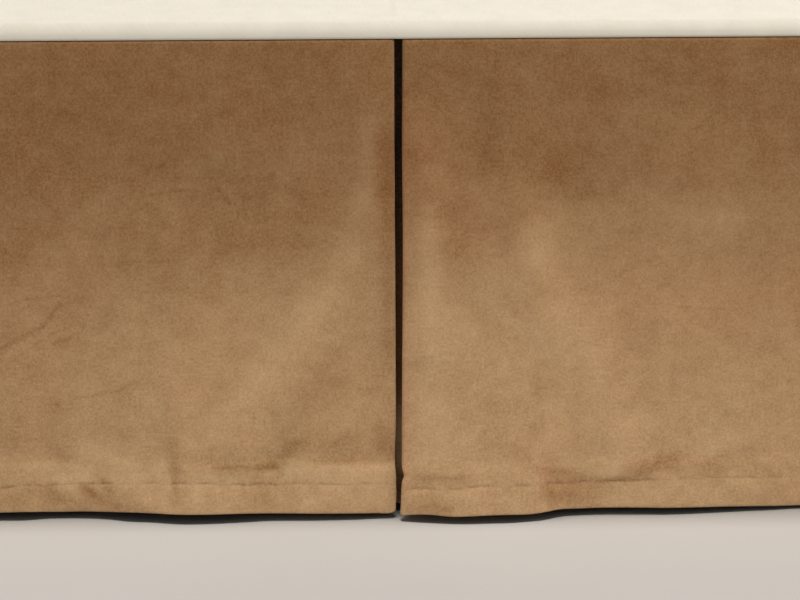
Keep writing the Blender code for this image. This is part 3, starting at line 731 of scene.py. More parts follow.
# soft patches of more and less, centred on nothing
inputs = [("Place", "Vector", None), ("Size", "Float", 0.02), ("Taller", "Float", 1.0)]
inputs += [("Seed", "Float", 0.0), ("Detail", "Float", 1.0)]
patchGroup, inside, outside = newGroup("softPatches", inputs, ["Value"])
tree = patchGroup
split = addNode(tree, "ShaderNodeSeparateXYZ", {0: inside["Place"]}).outputs
wide = calc(tree, "ADD", calc(tree, "DIVIDE", split[0], inside["Size"]), inside["Seed"])
tall = calc(tree, "DIVIDE", split[1], inside["Size"])
deep = calc(tree, "DIVIDE", split[2], calc(tree, "MULTIPLY", inside["Size"], inside["Taller"]))
place = joined(tree, {0: wide, 1: tall, 2: deep})
spots = addNode(tree, "ShaderNodeTexNoise", {"Vector": place, "Scale": 1.0, "Detail": inside["Detail"]})
centred = calc(tree, "SUBTRACT", spots.outputs["Fac"], 0.5)
tree.links.new(calc(tree, "MULTIPLY", centred, 2.0), outside["Value"])

# over and under threads of a plain weave, with slubs
inputs = [("Across", "Float", 0.0), ("Along", "Float", 0.0), ("Thread", "Float", 0.0006)]
weaveGroup, inside, outside = newGroup("plainWeave", inputs, ["Height", "Shade"])
tree = weaveGroup
waves = calc(tree, "DIVIDE", math.pi, inside["Thread"])
warp = calc(tree, "SINE", calc(tree, "MULTIPLY", inside["Across"], waves))
weft = calc(tree, "SINE", calc(tree, "MULTIPLY", inside["Along"], waves))
crossing = calc(tree, "MULTIPLY", warp, weft)
tree.links.new(calc(tree, "MULTIPLY_ADD", crossing, 0.5, 0.5), outside["Height"])
flat = joined(tree, {0: inside["Across"], 1: inside["Along"]})
long = calcVector(tree, "MULTIPLY", {0: flat, 1: (1500, 60, 1)})
slubs = addNode(tree, "ShaderNodeTexNoise", {"Vector": long, "Scale": 1.0, "Detail": 1.0}).outputs["Fac"]
tree.links.new(slubs, outside["Shade"])

# painted shade of one thin crease in the cloth, from one place to another
inputs = [("Along", "Float", 0.0), ("Up", "Float", 0.0), ("From", "Vector", None), ("To", "Vector", None)]
creaseShadeGroup, inside, outside = newGroup("paintedCreaseShade", inputs + [("Half Width", "Float", 0.001)], ["Mark"])
tree = creaseShadeGroup
here = joined(tree, {0: inside["Along"], 1: inside["Up"]})
reach = calcVector(tree, "SUBTRACT", {0: here, 1: inside["From"]})
run = calcVector(tree, "SUBTRACT", {0: inside["To"], 1: inside["From"]})
shared = calcVector(tree, "DOT_PRODUCT", {0: reach, 1: run}, "Value")
whole = calcVector(tree, "DOT_PRODUCT", {0: run, 1: run}, "Value")
share = clamped(tree, calc(tree, "DIVIDE", shared, whole))
onLine = calcVector(tree, "SCALE", {0: run, "Scale": share})
off = calcVector(tree, "DISTANCE", {0: reach, 1: onLine}, "Value")
ratio = calc(tree, "DIVIDE", off, inside["Half Width"])
mark = calc(tree, "EXPONENT", calc(tree, "MULTIPLY", calc(tree, "POWER", ratio, 2.0), -1.0))
tree.links.new(mark, outside["Mark"])
print("node groups ready")


def newMaterial(name):
    material = bpy.data.materials.new(name)
    material.use_nodes = True
    tree = material.node_tree
    tree.nodes.clear()
    output = tree.nodes.new("ShaderNodeOutputMaterial")
    shader = tree.nodes.new("ShaderNodeBsdfPrincipled")
    tree.links.new(shader.outputs[0], output.inputs["Surface"])
    return material, tree, shader


def setValues(shader, values):
    for name, value in values.items():
        shader.inputs[name].default_value = value


def readAttribute(tree, name):
    return addNode(tree, "ShaderNodeAttribute", attribute_name=name).outputs["Fac"]


def objectPlace(tree):
    return tree.nodes.new("ShaderNodeTexCoord").outputs["Object"]


def softPatch(tree, place, size, seed, detail, taller=1.0):
    inputs = {"Place": place, "Size": size, "Taller": taller, "Seed": seed, "Detail": detail}
    return addNode(tree, "ShaderNodeGroup", inputs, node_tree=patchGroup).outputs["Value"]


def addColour(tree, shader, shade, dark, light):
    inputs = {"Factor": clamped(tree, shade), 6: dark, 7: light}
    mixed = addNode(tree, "ShaderNodeMix", inputs, data_type="RGBA")
    tree.links.new(mixed.outputs[2], shader.inputs["Base Color"])


def addRoughness(tree, shader, height, change, mean):
    tree.links.new(calc(tree, "MULTIPLY_ADD", height, change, mean), shader.inputs["Roughness"])


def addBump(tree, shader, height, strength, distance):
    inputs = {"Height": height, "Strength": strength, "Distance": distance}
    made = addNode(tree, "ShaderNodeBump", inputs)
    tree.links.new(made.outputs[0], shader.inputs["Normal"])


# the drops' brushed cloth: its colour runs from dark to light with the nap and the painted light and shade
# that the mesh carries, and darker is also redder
suede = {
    "dark": (0.239, 0.124, 0.0501),
    "light": (0.403, 0.255, 0.130),
    # patch size in metres, how much taller, strength; and the first seed and its step
    "patches": [
        (0.080, 1.2, 0.06), (0.036, 1.0, 0.11), (0.017, 0.9, 0.16),
        (0.008, 0.9, 0.13), (0.004, 0.9, 0.14), (0.002, 1.0, 0.30),
    ],
    "patchSeeds": (0.0, 7.3),
    "grain": (0.0011, 51.0, 2.0),  # size, seed, detail
    "grainStrength": 0.49,
    # how the patches and the grain fade with height: from, to, share below, share above
    "patchShare": (0.07, 0.28, 1.2, 0.82),
    "grainShare": (0.07, 0.28, 1.02, 0.86),
    "napRange": (-0.35, 1.6),
    # painted shade: past the nap's darkest the colour is darkened further, as inside the pleat: from, to, and
    # the share of its brightness that is left there
    "depth": (-1.3, -0.35, 0.12, 1.0),
    # warmer and cooler patches of the same cloth, and what warmer does to red, green and blue
    "hues": [(0.060, 1.2, 0.026), (0.022, 1.0, 0.016), (0.007, 1.0, 0.006)],
    "hueSeeds": (91.7, 5.1),
    "warmer": (0.5, -0.5, -0.5),
    "roughness": (0.08, 0.9),  # how much the grain changes it, mean
    "bump": (0.25, 0.0004),  # strength, depth in metres
    "values": {
        "Sheen Weight": 0.22,
        "Sheen Roughness": 0.5,
        "Sheen Tint": (1.0, 0.86, 0.68, 1),
        "Specular IOR Level": 0.25,
    },
}

# painted shade in thin creases on the foot drop: from along and up, to along and up, half width, strength
# (millimetres)
creaseShades = [
    (-292, 129, -259, 147, 2.0, -0.27), (-285, 119, -250, 143, 1.2, -0.16),
    (-251, 133, -240, 138, 3.0, -0.26), (-249, 87, -248, 88, 2.2, -0.25), (-232, 92, -204, 97, 1.5, -0.2),
    (-204, 97, -190, 104, 1.5, -0.2), (-259, 147, -246, 164, 1.6, -0.2), (-181, 247, -153, 251, 1.3, -0.16),
    (-132, 252, -123, 240, 1.4, -0.2), (-94, 260, -92, 261, 2.6, -0.2), (-174, 269, -172, 270, 2.2, -0.2),
    (-112, 244, -110, 243, 2.4, -0.16), (85, 154, 85, 156, 2.4, -0.2), (85, 134, 86, 135, 2.2, -0.2),
    (-291, 162, -270, 168, 1.3, -0.16), (-270, 168, -246, 170, 1.2, -0.12),
    (-254, 140, -232, 150, 1.4, -0.12), (-217, 143, -212, 148, 2.0, -0.18), (285, 100, 288, 100, 2.4, -0.2),
    (205, 157, 249, 156, 1.6, -0.12),
]


def addPatches(tree, place, rows, seeds, total):
    for number, (size, taller, strength) in enumerate(rows):
        patch = softPatch(tree, place, size, seeds[0] + seeds[1] * number, 0, taller)
        total = calc(tree, "MULTIPLY_ADD", patch, strength, total)
    return total


def makeSuede():
    s = suede
    material, tree, shader = newMaterial("brushedTan")
    up = readAttribute(tree, "clothUp")
    place = joined(tree, {0: readAttribute(tree, "clothAlong"), 2: up})
    patches = addPatches(tree, place, s["patches"], s["patchSeeds"], 0.0)
    share = mapped(tree, up, *s["patchShare"])
    # the attribute read here carries the nap together with painted light and shade
    napAndShade = calc(tree, "MULTIPLY_ADD", patches, share, readAttribute(tree, "napAndShade"))
    onPanel = {"Along": readAttribute(tree, "panelAlong"), "Up": readAttribute(tree, "panelUp")}
    # painted shade in the thin creases
    for fromAlong, fromUp, toAlong, toUp, halfWidth, strength in creaseShades:
        ends = {"From": (fromAlong * mm, fromUp * mm, 0), "To": (toAlong * mm, toUp * mm, 0)}
        inputs = onPanel | ends | {"Half Width": halfWidth * mm}
        mark = addNode(tree, "ShaderNodeGroup", inputs, node_tree=creaseShadeGroup).outputs["Mark"]
        napAndShade = calc(tree, "MULTIPLY_ADD", mark, strength, napAndShade)
    grain = softPatch(tree, place, *s["grain"])
    strength = calc(tree, "MULTIPLY", mapped(tree, up, *s["grainShare"]), s["grainStrength"])
    grained = calc(tree, "MULTIPLY_ADD", grain, strength, napAndShade)
    span = [light - dark for light, dark in zip(s["light"], s["dark"])]
    scaled = calcVector(tree, "SCALE", {0: span, "Scale": clamped(tree, grained, *s["napRange"])})
    colour = calcVector(tree, "ADD", {0: scaled, 1: s["dark"]})
    hue = addPatches(tree, place, s["hues"], s["hueSeeds"], readAttribute(tree, "warmth"))
    tint = calcVector(tree, "SCALE", {0: s["warmer"], "Scale": hue})
    tinted = calcVector(tree, "MULTIPLY_ADD", {0: colour, 1: tint, 2: colour})
    # painted shade: past the nap's darkest, as inside the pleat, the colour is darkened further
    deep = calcVector(tree, "SCALE", {0: tinted, "Scale": mapped(tree, grained, *s["depth"])})
    tree.links.new(deep, shader.inputs["Base Color"])
    addRoughness(tree, shader, grain, *s["roughness"])
    setValues(shader, s["values"])
    addBump(tree, shader, grained, *s["bump"])
    return material


# plain woven cloth, for the deck and the box spring; sizes in metres
woven = {
    "patch": (3.0, 3.0),  # seed, detail
    "patchShare": 0.5,
    "roughness": (-0.08, 0.92),  # how much the threads change it, mean
    "values": {"Sheen Weight": 0.1},
    "relief": 0.5,  # of the thread
}


def makeWoven(name, dark, light, thread, height, patchSize):
    w = woven
    material, tree, shader = newMaterial(name)
    place = objectPlace(tree)
    split = addNode(tree, "ShaderNodeSeparateXYZ", {0: place}).outputs
    across = calc(tree, "ADD", split[0], split[2])
    inputs = {"Across": across, "Along": calc(tree, "ADD", split[1], split[2]), "Thread": thread}
    weave = addNode(tree, "ShaderNodeGroup", inputs, node_tree=weaveGroup).outputs
    patch = softPatch(tree, place, patchSize, *w["patch"])
    addColour(tree, shader, calc(tree, "MULTIPLY_ADD", patch, w["patchShare"], weave["Shade"]), dark, light)
    addRoughness(tree, shader, weave["Height"], *w["roughness"])
    setValues(shader, w["values"])
    addBump(tree, shader, weave["Height"], height, thread * w["relief"])
    return material


# the legs' stained wood
wood = {
    "dark": (0.026, 0.013, 0.007, 1),
    "light": (0.115, 0.062, 0.032, 1),
    # size in metres, seed, detail, how much taller
    "grain": (0.0022, 1.0, 3.0, 28.0),
    "patch": (0.03, 9.0, 1.0, 4.0),
    "grainShare": 0.9,
    "patchShare": 0.5,
    "roughness": (-0.12, 0.42),  # how much the grain changes it, mean
    "values": {"Coat Weight": 0.25, "Coat Roughness": 0.3},
    "bump": (0.2, 0.0004),
}


def makeWood():
    w = wood
    material, tree, shader = newMaterial("darkStainedWood")
    place = objectPlace(tree)
    grain = softPatch(tree, place, *w["grain"])
    shade = calc(tree, "MULTIPLY_ADD", softPatch(tree, place, *w["patch"]), w["patchShare"], 0.5)
    shade = calc(tree, "MULTIPLY_ADD", grain, w["grainShare"], shade)
    addColour(tree, shader, shade, w["dark"], w["light"])
    addRoughness(tree, shader, grain, *w["roughness"])
    setValues(shader, w["values"])
    addBump(tree, shader, grain, *w["bump"])
    return material


# plain finishes with a faint speckle; patch: seed, detail; relief: how deep, as a share of the speckle's size
speckle = {"patch": (5.0, 4.0), "contrast": 1.2, "roughness": 0.1, "relief": 0.3}


def makeSpeckled(name, dark, light, size, roughness, height=0.3):
    material, tree, shader = newMaterial(name)
    patch = softPatch(tree, objectPlace(tree), size, *speckle["patch"])
    shade = calc(tree, "MULTIPLY_ADD", patch, speckle["contrast"], 0.5)
    addColour(tree, shader, shade, dark, light)
    addRoughness(tree, shader, patch, speckle["roughness"], roughness)
    addBump(tree, shader, patch, height, size * speckle["relief"])
    return material


brushedTan = makeSuede()
darkWood = makeWood()
deckCotton = makeWoven("deckCotton", (0.53, 0.49, 0.41, 1), (0.61, 0.57, 0.49, 1), 0.0005, 0.3, 0.02)
tickingCloth = makeWoven("tickingCloth", (0.54, 0.52, 0.47, 1), (0.66, 0.64, 0.59, 1), 0.0007, 0.4, 0.06)
dustCover = makeSpeckled("dustCover", (0.03, 0.03, 0.03, 1), (0.07, 0.07, 0.07, 1), 0.004, 0.95)
felt = makeSpeckled("feltGlide", (0.2, 0.18, 0.16, 1), (0.32, 0.3, 0.27, 1), 0.0012, 0.95)
tanThread = makeSpeckled("tanThread", (0.25, 0.14, 0.065, 1), (0.4, 0.25, 0.13, 1), 0.006, 0.6)
creamThread = makeSpeckled("creamThread", (0.6, 0.55, 0.45, 1), (0.75, 0.7, 0.6, 1), 0.006, 0.6)
paleFloor = makeSpeckled("paleFloor", (0.62, 0.61, 0.59, 1), (0.64, 0.63, 0.61, 1), 0.35, 0.75, 0.0)
print("materials ready")

footCloth, footLines = makeDrop(footDrop, "footDropCloth", 0)
leftCloth, leftLines = makeDrop(leftDrop, "leftDropCloth", -1)
rightCloth, rightLines = makeDrop(rightDrop, "rightDropCloth", 1)
print("drops made")

# one stitch, in millimetres; arch: how high its thread rises, in its radii; sink: the share of that below
stitch = {"length": 2.5, "pitch": 3.1, "radius": 0.19, "arch": 1.6, "sink": 0.45}


def oneStitch():
    # a short length of thread that dips into the cloth at both ends
    deselectAll()
    bpy.ops.mesh.primitive_cylinder_add(vertices=6, radius=1, depth=1, rotation=(0, math.pi / 2, 0))
    piece = bpy.context.object
    bpy.ops.object.mode_set(mode="EDIT")
    for place in (-0.3, 0.3):
        bpy.ops.mesh.select_all(action="SELECT")
        bpy.ops.mesh.bisect(plane_co=(place, 0, 0), plane_no=(1, 0, 0))
    bpy.ops.mesh.select_all(action="SELECT")
    bpy.ops.mesh.quads_convert_to_tris()
    bpy.ops.object.mode_set(mode="OBJECT")
    placeInMesh(piece)
    return piece


def sewLine(name, points, outward, material, slotName):
    # points: the cloth's surface along the line, in metres; outward: the way it faces at each of them
    pattern = oneStitch()
    shape = np.array([v.co[:] for v in pattern.data.vertices])
    faces = [list(p.vertices) for p in pattern.data.polygons]
    bpy.data.objects.remove(pattern)
    run = runAlong(points)
    pitch, length, radius = (stitch[size] * mm for size in ("pitch", "length", "radius"))
    arch = (1 - (2 * shape[:, 0]) ** 2 - stitch["sink"]) * stitch["arch"]
    high = (shape[:, 2] + arch) * radius
    verts, polys = [], []
    for i in range(int(run[-1] // pitch)):
        middle = (i + 0.5) * pitch
        ends = (middle - 0.5 * length, middle + 0.5 * length)
        here = [np.array([np.interp(at, run, points[:, axis]) for axis in range(3)]) for at in ends]
        face = np.array([np.interp(middle, run, outward[:, axis]) for axis in range(3)])
        face /= np.linalg.norm(face)
        forward = here[1] - here[0]
        across = np.cross(face, forward)
        across /= np.linalg.norm(across)
        place = (here[0] + here[1]) / 2 + shape[:, :1] * forward
        polys += [[v + len(verts) * len(shape) for v in corners] for corners in faces]
        verts.append(place + shape[:, 1:2] * radius * across + high[:, None] * face)
    return finishPiece(newPiece(name, np.concatenate(verts).tolist(), polys), name, material)


def sewHem(name, lines):
    ends = zip(("Left", "Right"), lines)
    return [sewLine(name + end, *line, tanThread, "skirt_cloth") for end, line in ends]


footStitches = sewHem("footHemStitches", footLines)
leftStitches = sewHem("leftHemStitches", leftLines)
rightStitches = sewHem("rightHemStitches", rightLines)
print("hem stitches made")

# the deck: plain cloth over the box spring, rolled over its edge down to the seam, in millimetres
deck = {
    "halfWidth": cloth["halfWidth"],
    "halfLength": cloth["halfLength"],
    "top": 382.5,
    "seam": 370.5,
    "thickness": 0.6,
    "roll": 10.0,
    "seamTurn": 1.6,
    "cell": 15.0,
    # the head end: its hem's turn, length, rise and stitches, the grid's step there,
    # and how far before the end the cloth starts and ends to rise and its wrinkles to fade
    "headTurn": 0.6,
    "headHem": 12.0,
    "headRise": 1.15,
    "headStitches": 9.0,
    "headStep": 4.0,
    "headRises": (24, 12),
    "headFades": (60, 20),
    # low wrinkles: how high, and the wave, how tall, share and seed of each layer
    "wrinkle": 3.0,
    "ripples": [(170, 240, 1.0, 2.0), (55, 75, 0.4, 5.0)],
    # where it was folded when new: places across and along, the crease's rise, half width and wear
    "foldsX": (-381, 0, 381),
    "foldsY": (-505, 0, 505),
    "foldRise": 2.1,
    "foldWidth": 3.0,
    "foldWorn": (0.6, 0.8, 130),
    "besideFold": (1, 2.5, 4, 6, 9),
    "flatRim": 45,
}


def rimProfile():
    # from the flat top outwards: cloth used, out from the inner edge, down, and the way it faces
    d = deck
    radius = d["roll"] - d["thickness"] / 2
    rows = [(0, 0, 0, 0)]
    for a in np.radians(spaced(0, 90, 10)[1:]):
        rows.append((radius * a, radius * math.sin(a), radius * (1 - math.cos(a)), a))
    depth = d["top"] - d["seam"] - d["thickness"] - d["seamTurn"]
    used = rows[-1][0] + depth - radius
    rows.append((used, radius, depth, math.pi / 2))
    turn = d["seamTurn"]
    for a in np.radians(spaced(0, 90, 22.5)[1:]):
        out, down = radius - turn * (1 - math.cos(a)), depth + turn * math.sin(a)
        rows.append((used + turn * a, out, down, math.pi / 2 + a))
    return np.array(rows)


def besideFolds(start, end, folds):
    # even places, with more of them beside each fold
    near = [place + side * off for place in folds for off in deck["besideFold"] for side in (-1, 1)]
    clear = max(deck["besideFold"]) + 4
    even = [at for at in spaced(start, end, deck["cell"]) if all(abs(at - place) > clear for place in folds)]
    return sorted(even + near)


def makeDeck():
    d = deck
    profile = rimProfile()
    innerX, innerY = d["halfWidth"] - d["roll"], d["halfLength"] - d["roll"]
    rim = list(profile[1:, 0])
    turn, step = d["headTurn"], d["headStep"]
    headEnd = d["halfLength"] - turn
    xs = [-innerX - r for r in rim[::-1]] + besideFolds(-innerX, innerX, d["foldsX"])
    xs = np.array(xs + [innerX + r for r in rim])
    ys = [-innerY - r for r in rim[::-1]] + besideFolds(-innerY, headEnd - 6 * step, d["foldsY"])
    # the rows: how far along, and how far under the top where the head end's hem turns back
    places = [(y, 0.0) for y in ys + spaced(headEnd - 5 * step, headEnd - step, step)]
    places += [(headEnd + turn * across, turn * (1 - down)) for down, across in turns(spaced(0, 180, 30))]
    places += [(headEnd - run, 2 * turn) for run in spaced(0, d["headHem"], 3)[1:]]
    piece, column, row = makeGrid(len(xs), len(places))
    x, (y, under) = xs[column], np.array(places)[row].T

    nearX, nearY = np.clip(x, -innerX, innerX), np.maximum(y, -innerY)
    offX, offY = x - nearX, y - nearY
    away = np.minimum(np.hypot(offX, offY), profile[-1, 0])
    length = np.maximum(np.hypot(offX, offY), 1e-9)
    out, down, facing = (np.interp(away, profile[:, 0], profile[:, part]) for part in (1, 2, 3))
    fromRim = np.minimum(innerX - np.abs(nearX), nearY + innerY)
    flatness = smoothStep(0, d["flatRim"], fromRim + 5) * (away < 0.01)
    layers = [share * softNoise(x, y, wave, tall, seed) for wave, tall, share, seed in d["ripples"]]
    rise = d["wrinkle"] * np.clip(sum(layers), 0, 1)
    mean, change, wave = d["foldWorn"]
    for folds, across, along, seed in ((d["foldsX"], x, y, 3.0), (d["foldsY"], y, x, 9.0)):
        for fold in folds:
            wornAndLit = mean + change * lineNoise(along, wave, fold + seed)
            rise = rise + d["foldRise"] * wornAndLit * bump(across - fold, d["foldWidth"])
    starts, ends = d["headFades"]
    rise = rise * flatness * (1 - smoothStep(headEnd - starts, headEnd - ends, y))
    starts, ends = d["headRises"]
    rise = rise + d["headRise"] * smoothStep(headEnd - starts, headEnd - ends, y)
    inward = out - under * np.sin(facing)
    z = d["top"] - d["thickness"] / 2 - down - under * np.cos(facing) + rise * (down < 1)
    made = np.column_stack([nearX + offX / length * inward, nearY + offY / length * out, z])
    piece.data.vertices.foreach_set("co", (made * mm).ravel())
    piece.data.update()
    editAll(piece)
    bpy.ops.mesh.remove_doubles(threshold=0.00004)
    bpy.ops.mesh.dissolve_degenerate(threshold=0.00002)
    bpy.ops.object.mode_set(mode="OBJECT")
    thicken(piece, d["thickness"])
    return finishPiece(piece, "deckCloth", deckCotton, ["deck"])


deckCloth = makeDeck()
headLine = deck["halfLength"] - deck["headStitches"]
headReach = deck["halfWidth"] - deck["roll"]
headPoints = np.array([(x, headLine, deck["top"] + deck["headRise"]) for x in (-headReach, headReach)]) * mm
headStitches = sewLine("headHemStitches", headPoints, np.array([(0, 0, 1.0)] * 2), creamThread, "deck_cloth")
print("deck made")

# the box spring: upholstered sides, a welt round the top and bottom edges, a dust cover below
boxSpring = {
    "width": 1.4986,
    "length": 2.0066,
    "middleY": 0.00635,
    "bottom": 0.1524,
    "top": 0.381,
    "corner": 0.04,
    "cornerSegments": 8,
    "edge": 0.012,
    "edgeSegments": 5,
    # where it is cut into cells: across, along, how far from the top and bottom, and the cells' sizes
    "cutsAcross": (-0.7, 0.7, 0.06),
    "cutsAlong": (-0.95, 0.96, 0.06),
    "cutsUp": (0.02, 0.03),
    "pillow": 0.0016,
    "sideRough": (0.0008, 9),  # how deep, how fine
    "topRough": (0.0008, 6),
    "topSinks": 0.0005,
    "weltRadius": 0.0024,
    "weltSunk": 0.0026,
    "weltSides": 10,
    "weltSteps": (8, 24),  # round a corner, along a side
    "weltRough": (0.05, 40),
}


def bevelEdges(piece, least, most, width, segments):
    # marks the edges whose ends differ in height by between least and most, and rounds every edge that
    # joins two of their ends
    bpy.ops.object.mode_set(mode="EDIT")
    bpy.ops.mesh.select_all(action="DESELECT")
    bpy.ops.object.mode_set(mode="OBJECT")
    for edge in piece.data.edges:
        start, end = [piece.data.vertices[v].co.z for v in edge.vertices]
        edge.select = least <= abs(start - end) < most
    bpy.ops.object.mode_set(mode="EDIT")
    bpy.ops.mesh.bevel(offset=width, segments=segments, profile=0.5, affect="EDGES")


def makeBoxSpring():
    b = boxSpring
    height = b["top"] - b["bottom"]
    middle = (0, b["middleY"], (b["top"] + b["bottom"]) / 2)
    deselectAll()
    bpy.ops.mesh.primitive_cube_add(size=1, location=middle, scale=(b["width"], b["length"], height))
    piece = bpy.context.object
    placeInMesh(piece)
    # the upright edges hold all eight corners, so the first call rounds every edge of the box, and the
    # second then folds layers in behind the rounded rims: a known fault, left as it is
    bevelEdges(piece, height / 2, 2 * height, b["corner"], b["cornerSegments"])
    bevelEdges(piece, 0, 0.001, b["edge"], b["edgeSegments"])
    inward, cell = b["cutsUp"]
    cuts = [((x, 0, 0), (1, 0, 0)) for x in spaced(*b["cutsAcross"])]
    cuts += [((0, y, 0), (0, 1, 0)) for y in spaced(*b["cutsAlong"])]
    cuts += [((0, 0, z), (0, 0, 1)) for z in spaced(b["bottom"] + inward, b["top"] - inward, cell)]
    for place, normal in cuts:
        bpy.ops.mesh.select_all(action="SELECT")
        bpy.ops.mesh.bisect(plane_co=place, plane_no=normal)
    bpy.ops.mesh.select_all(action="SELECT")
    bpy.ops.mesh.normals_make_consistent(inside=False)
    bpy.ops.object.mode_set(mode="OBJECT")
    mesh = piece.data
    normals = [v.normal.copy() for v in mesh.vertices]
    for vert, normal in zip(mesh.vertices, normals):
        share = (vert.co.z - b["bottom"]) / height
        if abs(normal.z) < 0.5:
            deep, fine = b["sideRough"]
            rough = noise.noise(vert.co * fine) * deep
            vert.co += normal * (b["pillow"] * math.sin(math.pi * share) - deep + rough)
        elif normal.z > 0.9:
            deep, fine = b["topRough"]
            vert.co.z -= b["topSinks"] + deep * abs(noise.noise(vert.co * fine))
    finishPiece(piece, "boxSpringCover", tickingCloth, ["box_spring"], angle=50)
    mesh.materials.append(dustCover)
    for face in mesh.polygons:
        if face.normal.z < -0.9:
            face.material_index = 1
    return piece


def weltPath(z):
    # once round the box spring, from corner to corner
    b = boxSpring
    corner = b["corner"]
    bends, lengths = b["weltSteps"]
    inX, inY = b["width"] / 2 - b["weltSunk"] - corner, b["length"] / 2 - b["weltSunk"] - corner
    arcs = []
    for quarter, (signX, signY) in enumerate(((1, 1), (-1, 1), (-1, -1), (1, -1))):
        arc = turns(spaced(90 * quarter, 90 * quarter + 90, 90 / bends))
        middleX, middleY = signX * inX, signY * inY + b["middleY"]
        arcs.append([Vector((middleX + corner * x, middleY + corner * y, z)) for x, y in arc])
    path = []
    for arc, following in zip(arcs, arcs[1:] + arcs[:1]):
        path += arc + [arc[-1].lerp(following[0], i / lengths) for i in range(1, lengths)]
    return path


def makeWelt(name, z):
    # a piped cord sewn round the edge, as a closed tube
    path, sides = weltPath(z), boxSpring["weltSides"]
    uneven, fine = boxSpring["weltRough"]
    count = len(path)
    up = Vector((0, 0, 1))
    verts, faces = [], []
    for i, here in enumerate(path):
        outward = (path[(i + 1) % count] - path[i - 1]).normalized().cross(up)
        radius = boxSpring["weltRadius"] * (1 + uneven * noise.noise(here * fine))
        for k in range(sides):
            angle = 2 * math.pi * k / sides
            verts.append(here + radius * (math.cos(angle) * outward + math.sin(angle) * up))
            start, following = i * sides, (i + 1) % count * sides
            beside = (k + 1) % sides
            faces.append((start + k, start + beside, following + beside, following + k))
    piece = newPiece(name, verts, faces)
    editAll(piece)
    bpy.ops.mesh.normals_make_consistent(inside=False)
    bpy.ops.object.mode_set(mode="OBJECT")
    return finishPiece(piece, name, tickingCloth)


boxCover = makeBoxSpring()
makeWelt("boxWeltTop", boxSpring["top"] - boxSpring["edge"])
makeWelt("boxWeltBottom", boxSpring["bottom"] + boxSpring["edge"])
print("box spring made")

# the six legs: a collar, a taper and a felt glide
leg = {
    "top": 0.1521,
    "topRadius": 0.030,
    "footRadius": 0.022,
    "collar": 0.012,
    "groove": 0.0016,
    "glide": 0.004,
    # how much narrower or wider each part is than the one above: groove, neck, taper, glide
    "grooveGrows": 0.92,
    "neckGrows": 1.055,
    "taper": [(0.045, 0.92), (0.045, 0.9)],
    "glideGrows": 0.86,
    "softEdge": 0.0007,
    "softAngle": 35,
    "sides": 48,
    "acrossPlaces": {"left": -0.6893, "right": 0.6893},
    "alongPlaces": {"foot": -0.91695, "middle": 0.00635, "head": 0.92965},
}


def makeLeg(name, x, y):
    top, collar, radius = leg["top"], leg["collar"], leg["topRadius"]
    deselectAll()
    middle = (x, y, top - collar / 2)
    bpy.ops.mesh.primitive_cylinder_add(vertices=leg["sides"], radius=radius, depth=collar, location=middle)
    piece = bpy.context.object
    placeInMesh(piece)
    bpy.ops.object.mode_set(mode="EDIT")
    bpy.ops.mesh.select_mode(type="FACE")
    bpy.ops.object.mode_set(mode="OBJECT")
    # only this face is meant, but the cylinder's edges stay selected too, so that each step below also
    # leaves faces inside the leg: a known fault, left as it is
    for face in piece.data.polygons:
        face.select = face.normal.z < -0.9
    bpy.ops.object.mode_set(mode="EDIT")
    # a groove under the collar, then the taper, then the glide
    shapes = [(0.0, leg["grooveGrows"]), (leg["groove"], 1.0), (0.0, leg["neckGrows"]), *leg["taper"]]
    down = top - collar - sum(drop for drop, grow in shapes) - leg["glide"]
    narrowed = leg["footRadius"] / radius / math.prod(grow for drop, grow in shapes)
    shapes += [(down, narrowed), (0.0, leg["glideGrows"]), (leg["glide"], 1.0)]
    for drop, grow in shapes:
        bpy.ops.mesh.extrude_region_move(TRANSFORM_OT_translate={"value": (0, 0, -drop)})
        bpy.ops.transform.resize(value=(grow, grow, 1), center_override=(x, y, 0))
    bpy.ops.mesh.select_all(action="SELECT")
    bpy.ops.mesh.remove_doubles(threshold=0.00001)
    bpy.ops.mesh.normals_make_consistent(inside=False)
    bpy.ops.object.mode_set(mode="OBJECT")
    bevel = piece.modifiers.new("soft edges", "BEVEL")
    bevel.width = leg["softEdge"]
    bevel.segments = 2
    bevel.limit_method = "ANGLE"
    bevel.angle_limit = math.radians(leg["softAngle"])
    applyModifiers(piece)
    finishPiece(piece, "wood_" + name, darkWood, [name], angle=40)
    piece.data.materials.append(felt)
    for face in piece.data.polygons:
        if face.center.z < leg["glide"] + 0.0001:
            face.material_index = 1


for sideName, x in leg["acrossPlaces"].items():
    for rowName, y in leg["alongPlaces"].items():
        makeLeg(f"leg_{rowName}_{sideName}", x, y)
print("legs made")

# a plain floor, the light and the camera
deselectAll()
bpy.ops.mesh.primitive_plane_add(size=60)
floor = bpy.context.object
floor.name = "floor"
floor.data.materials.append(paleFloor)

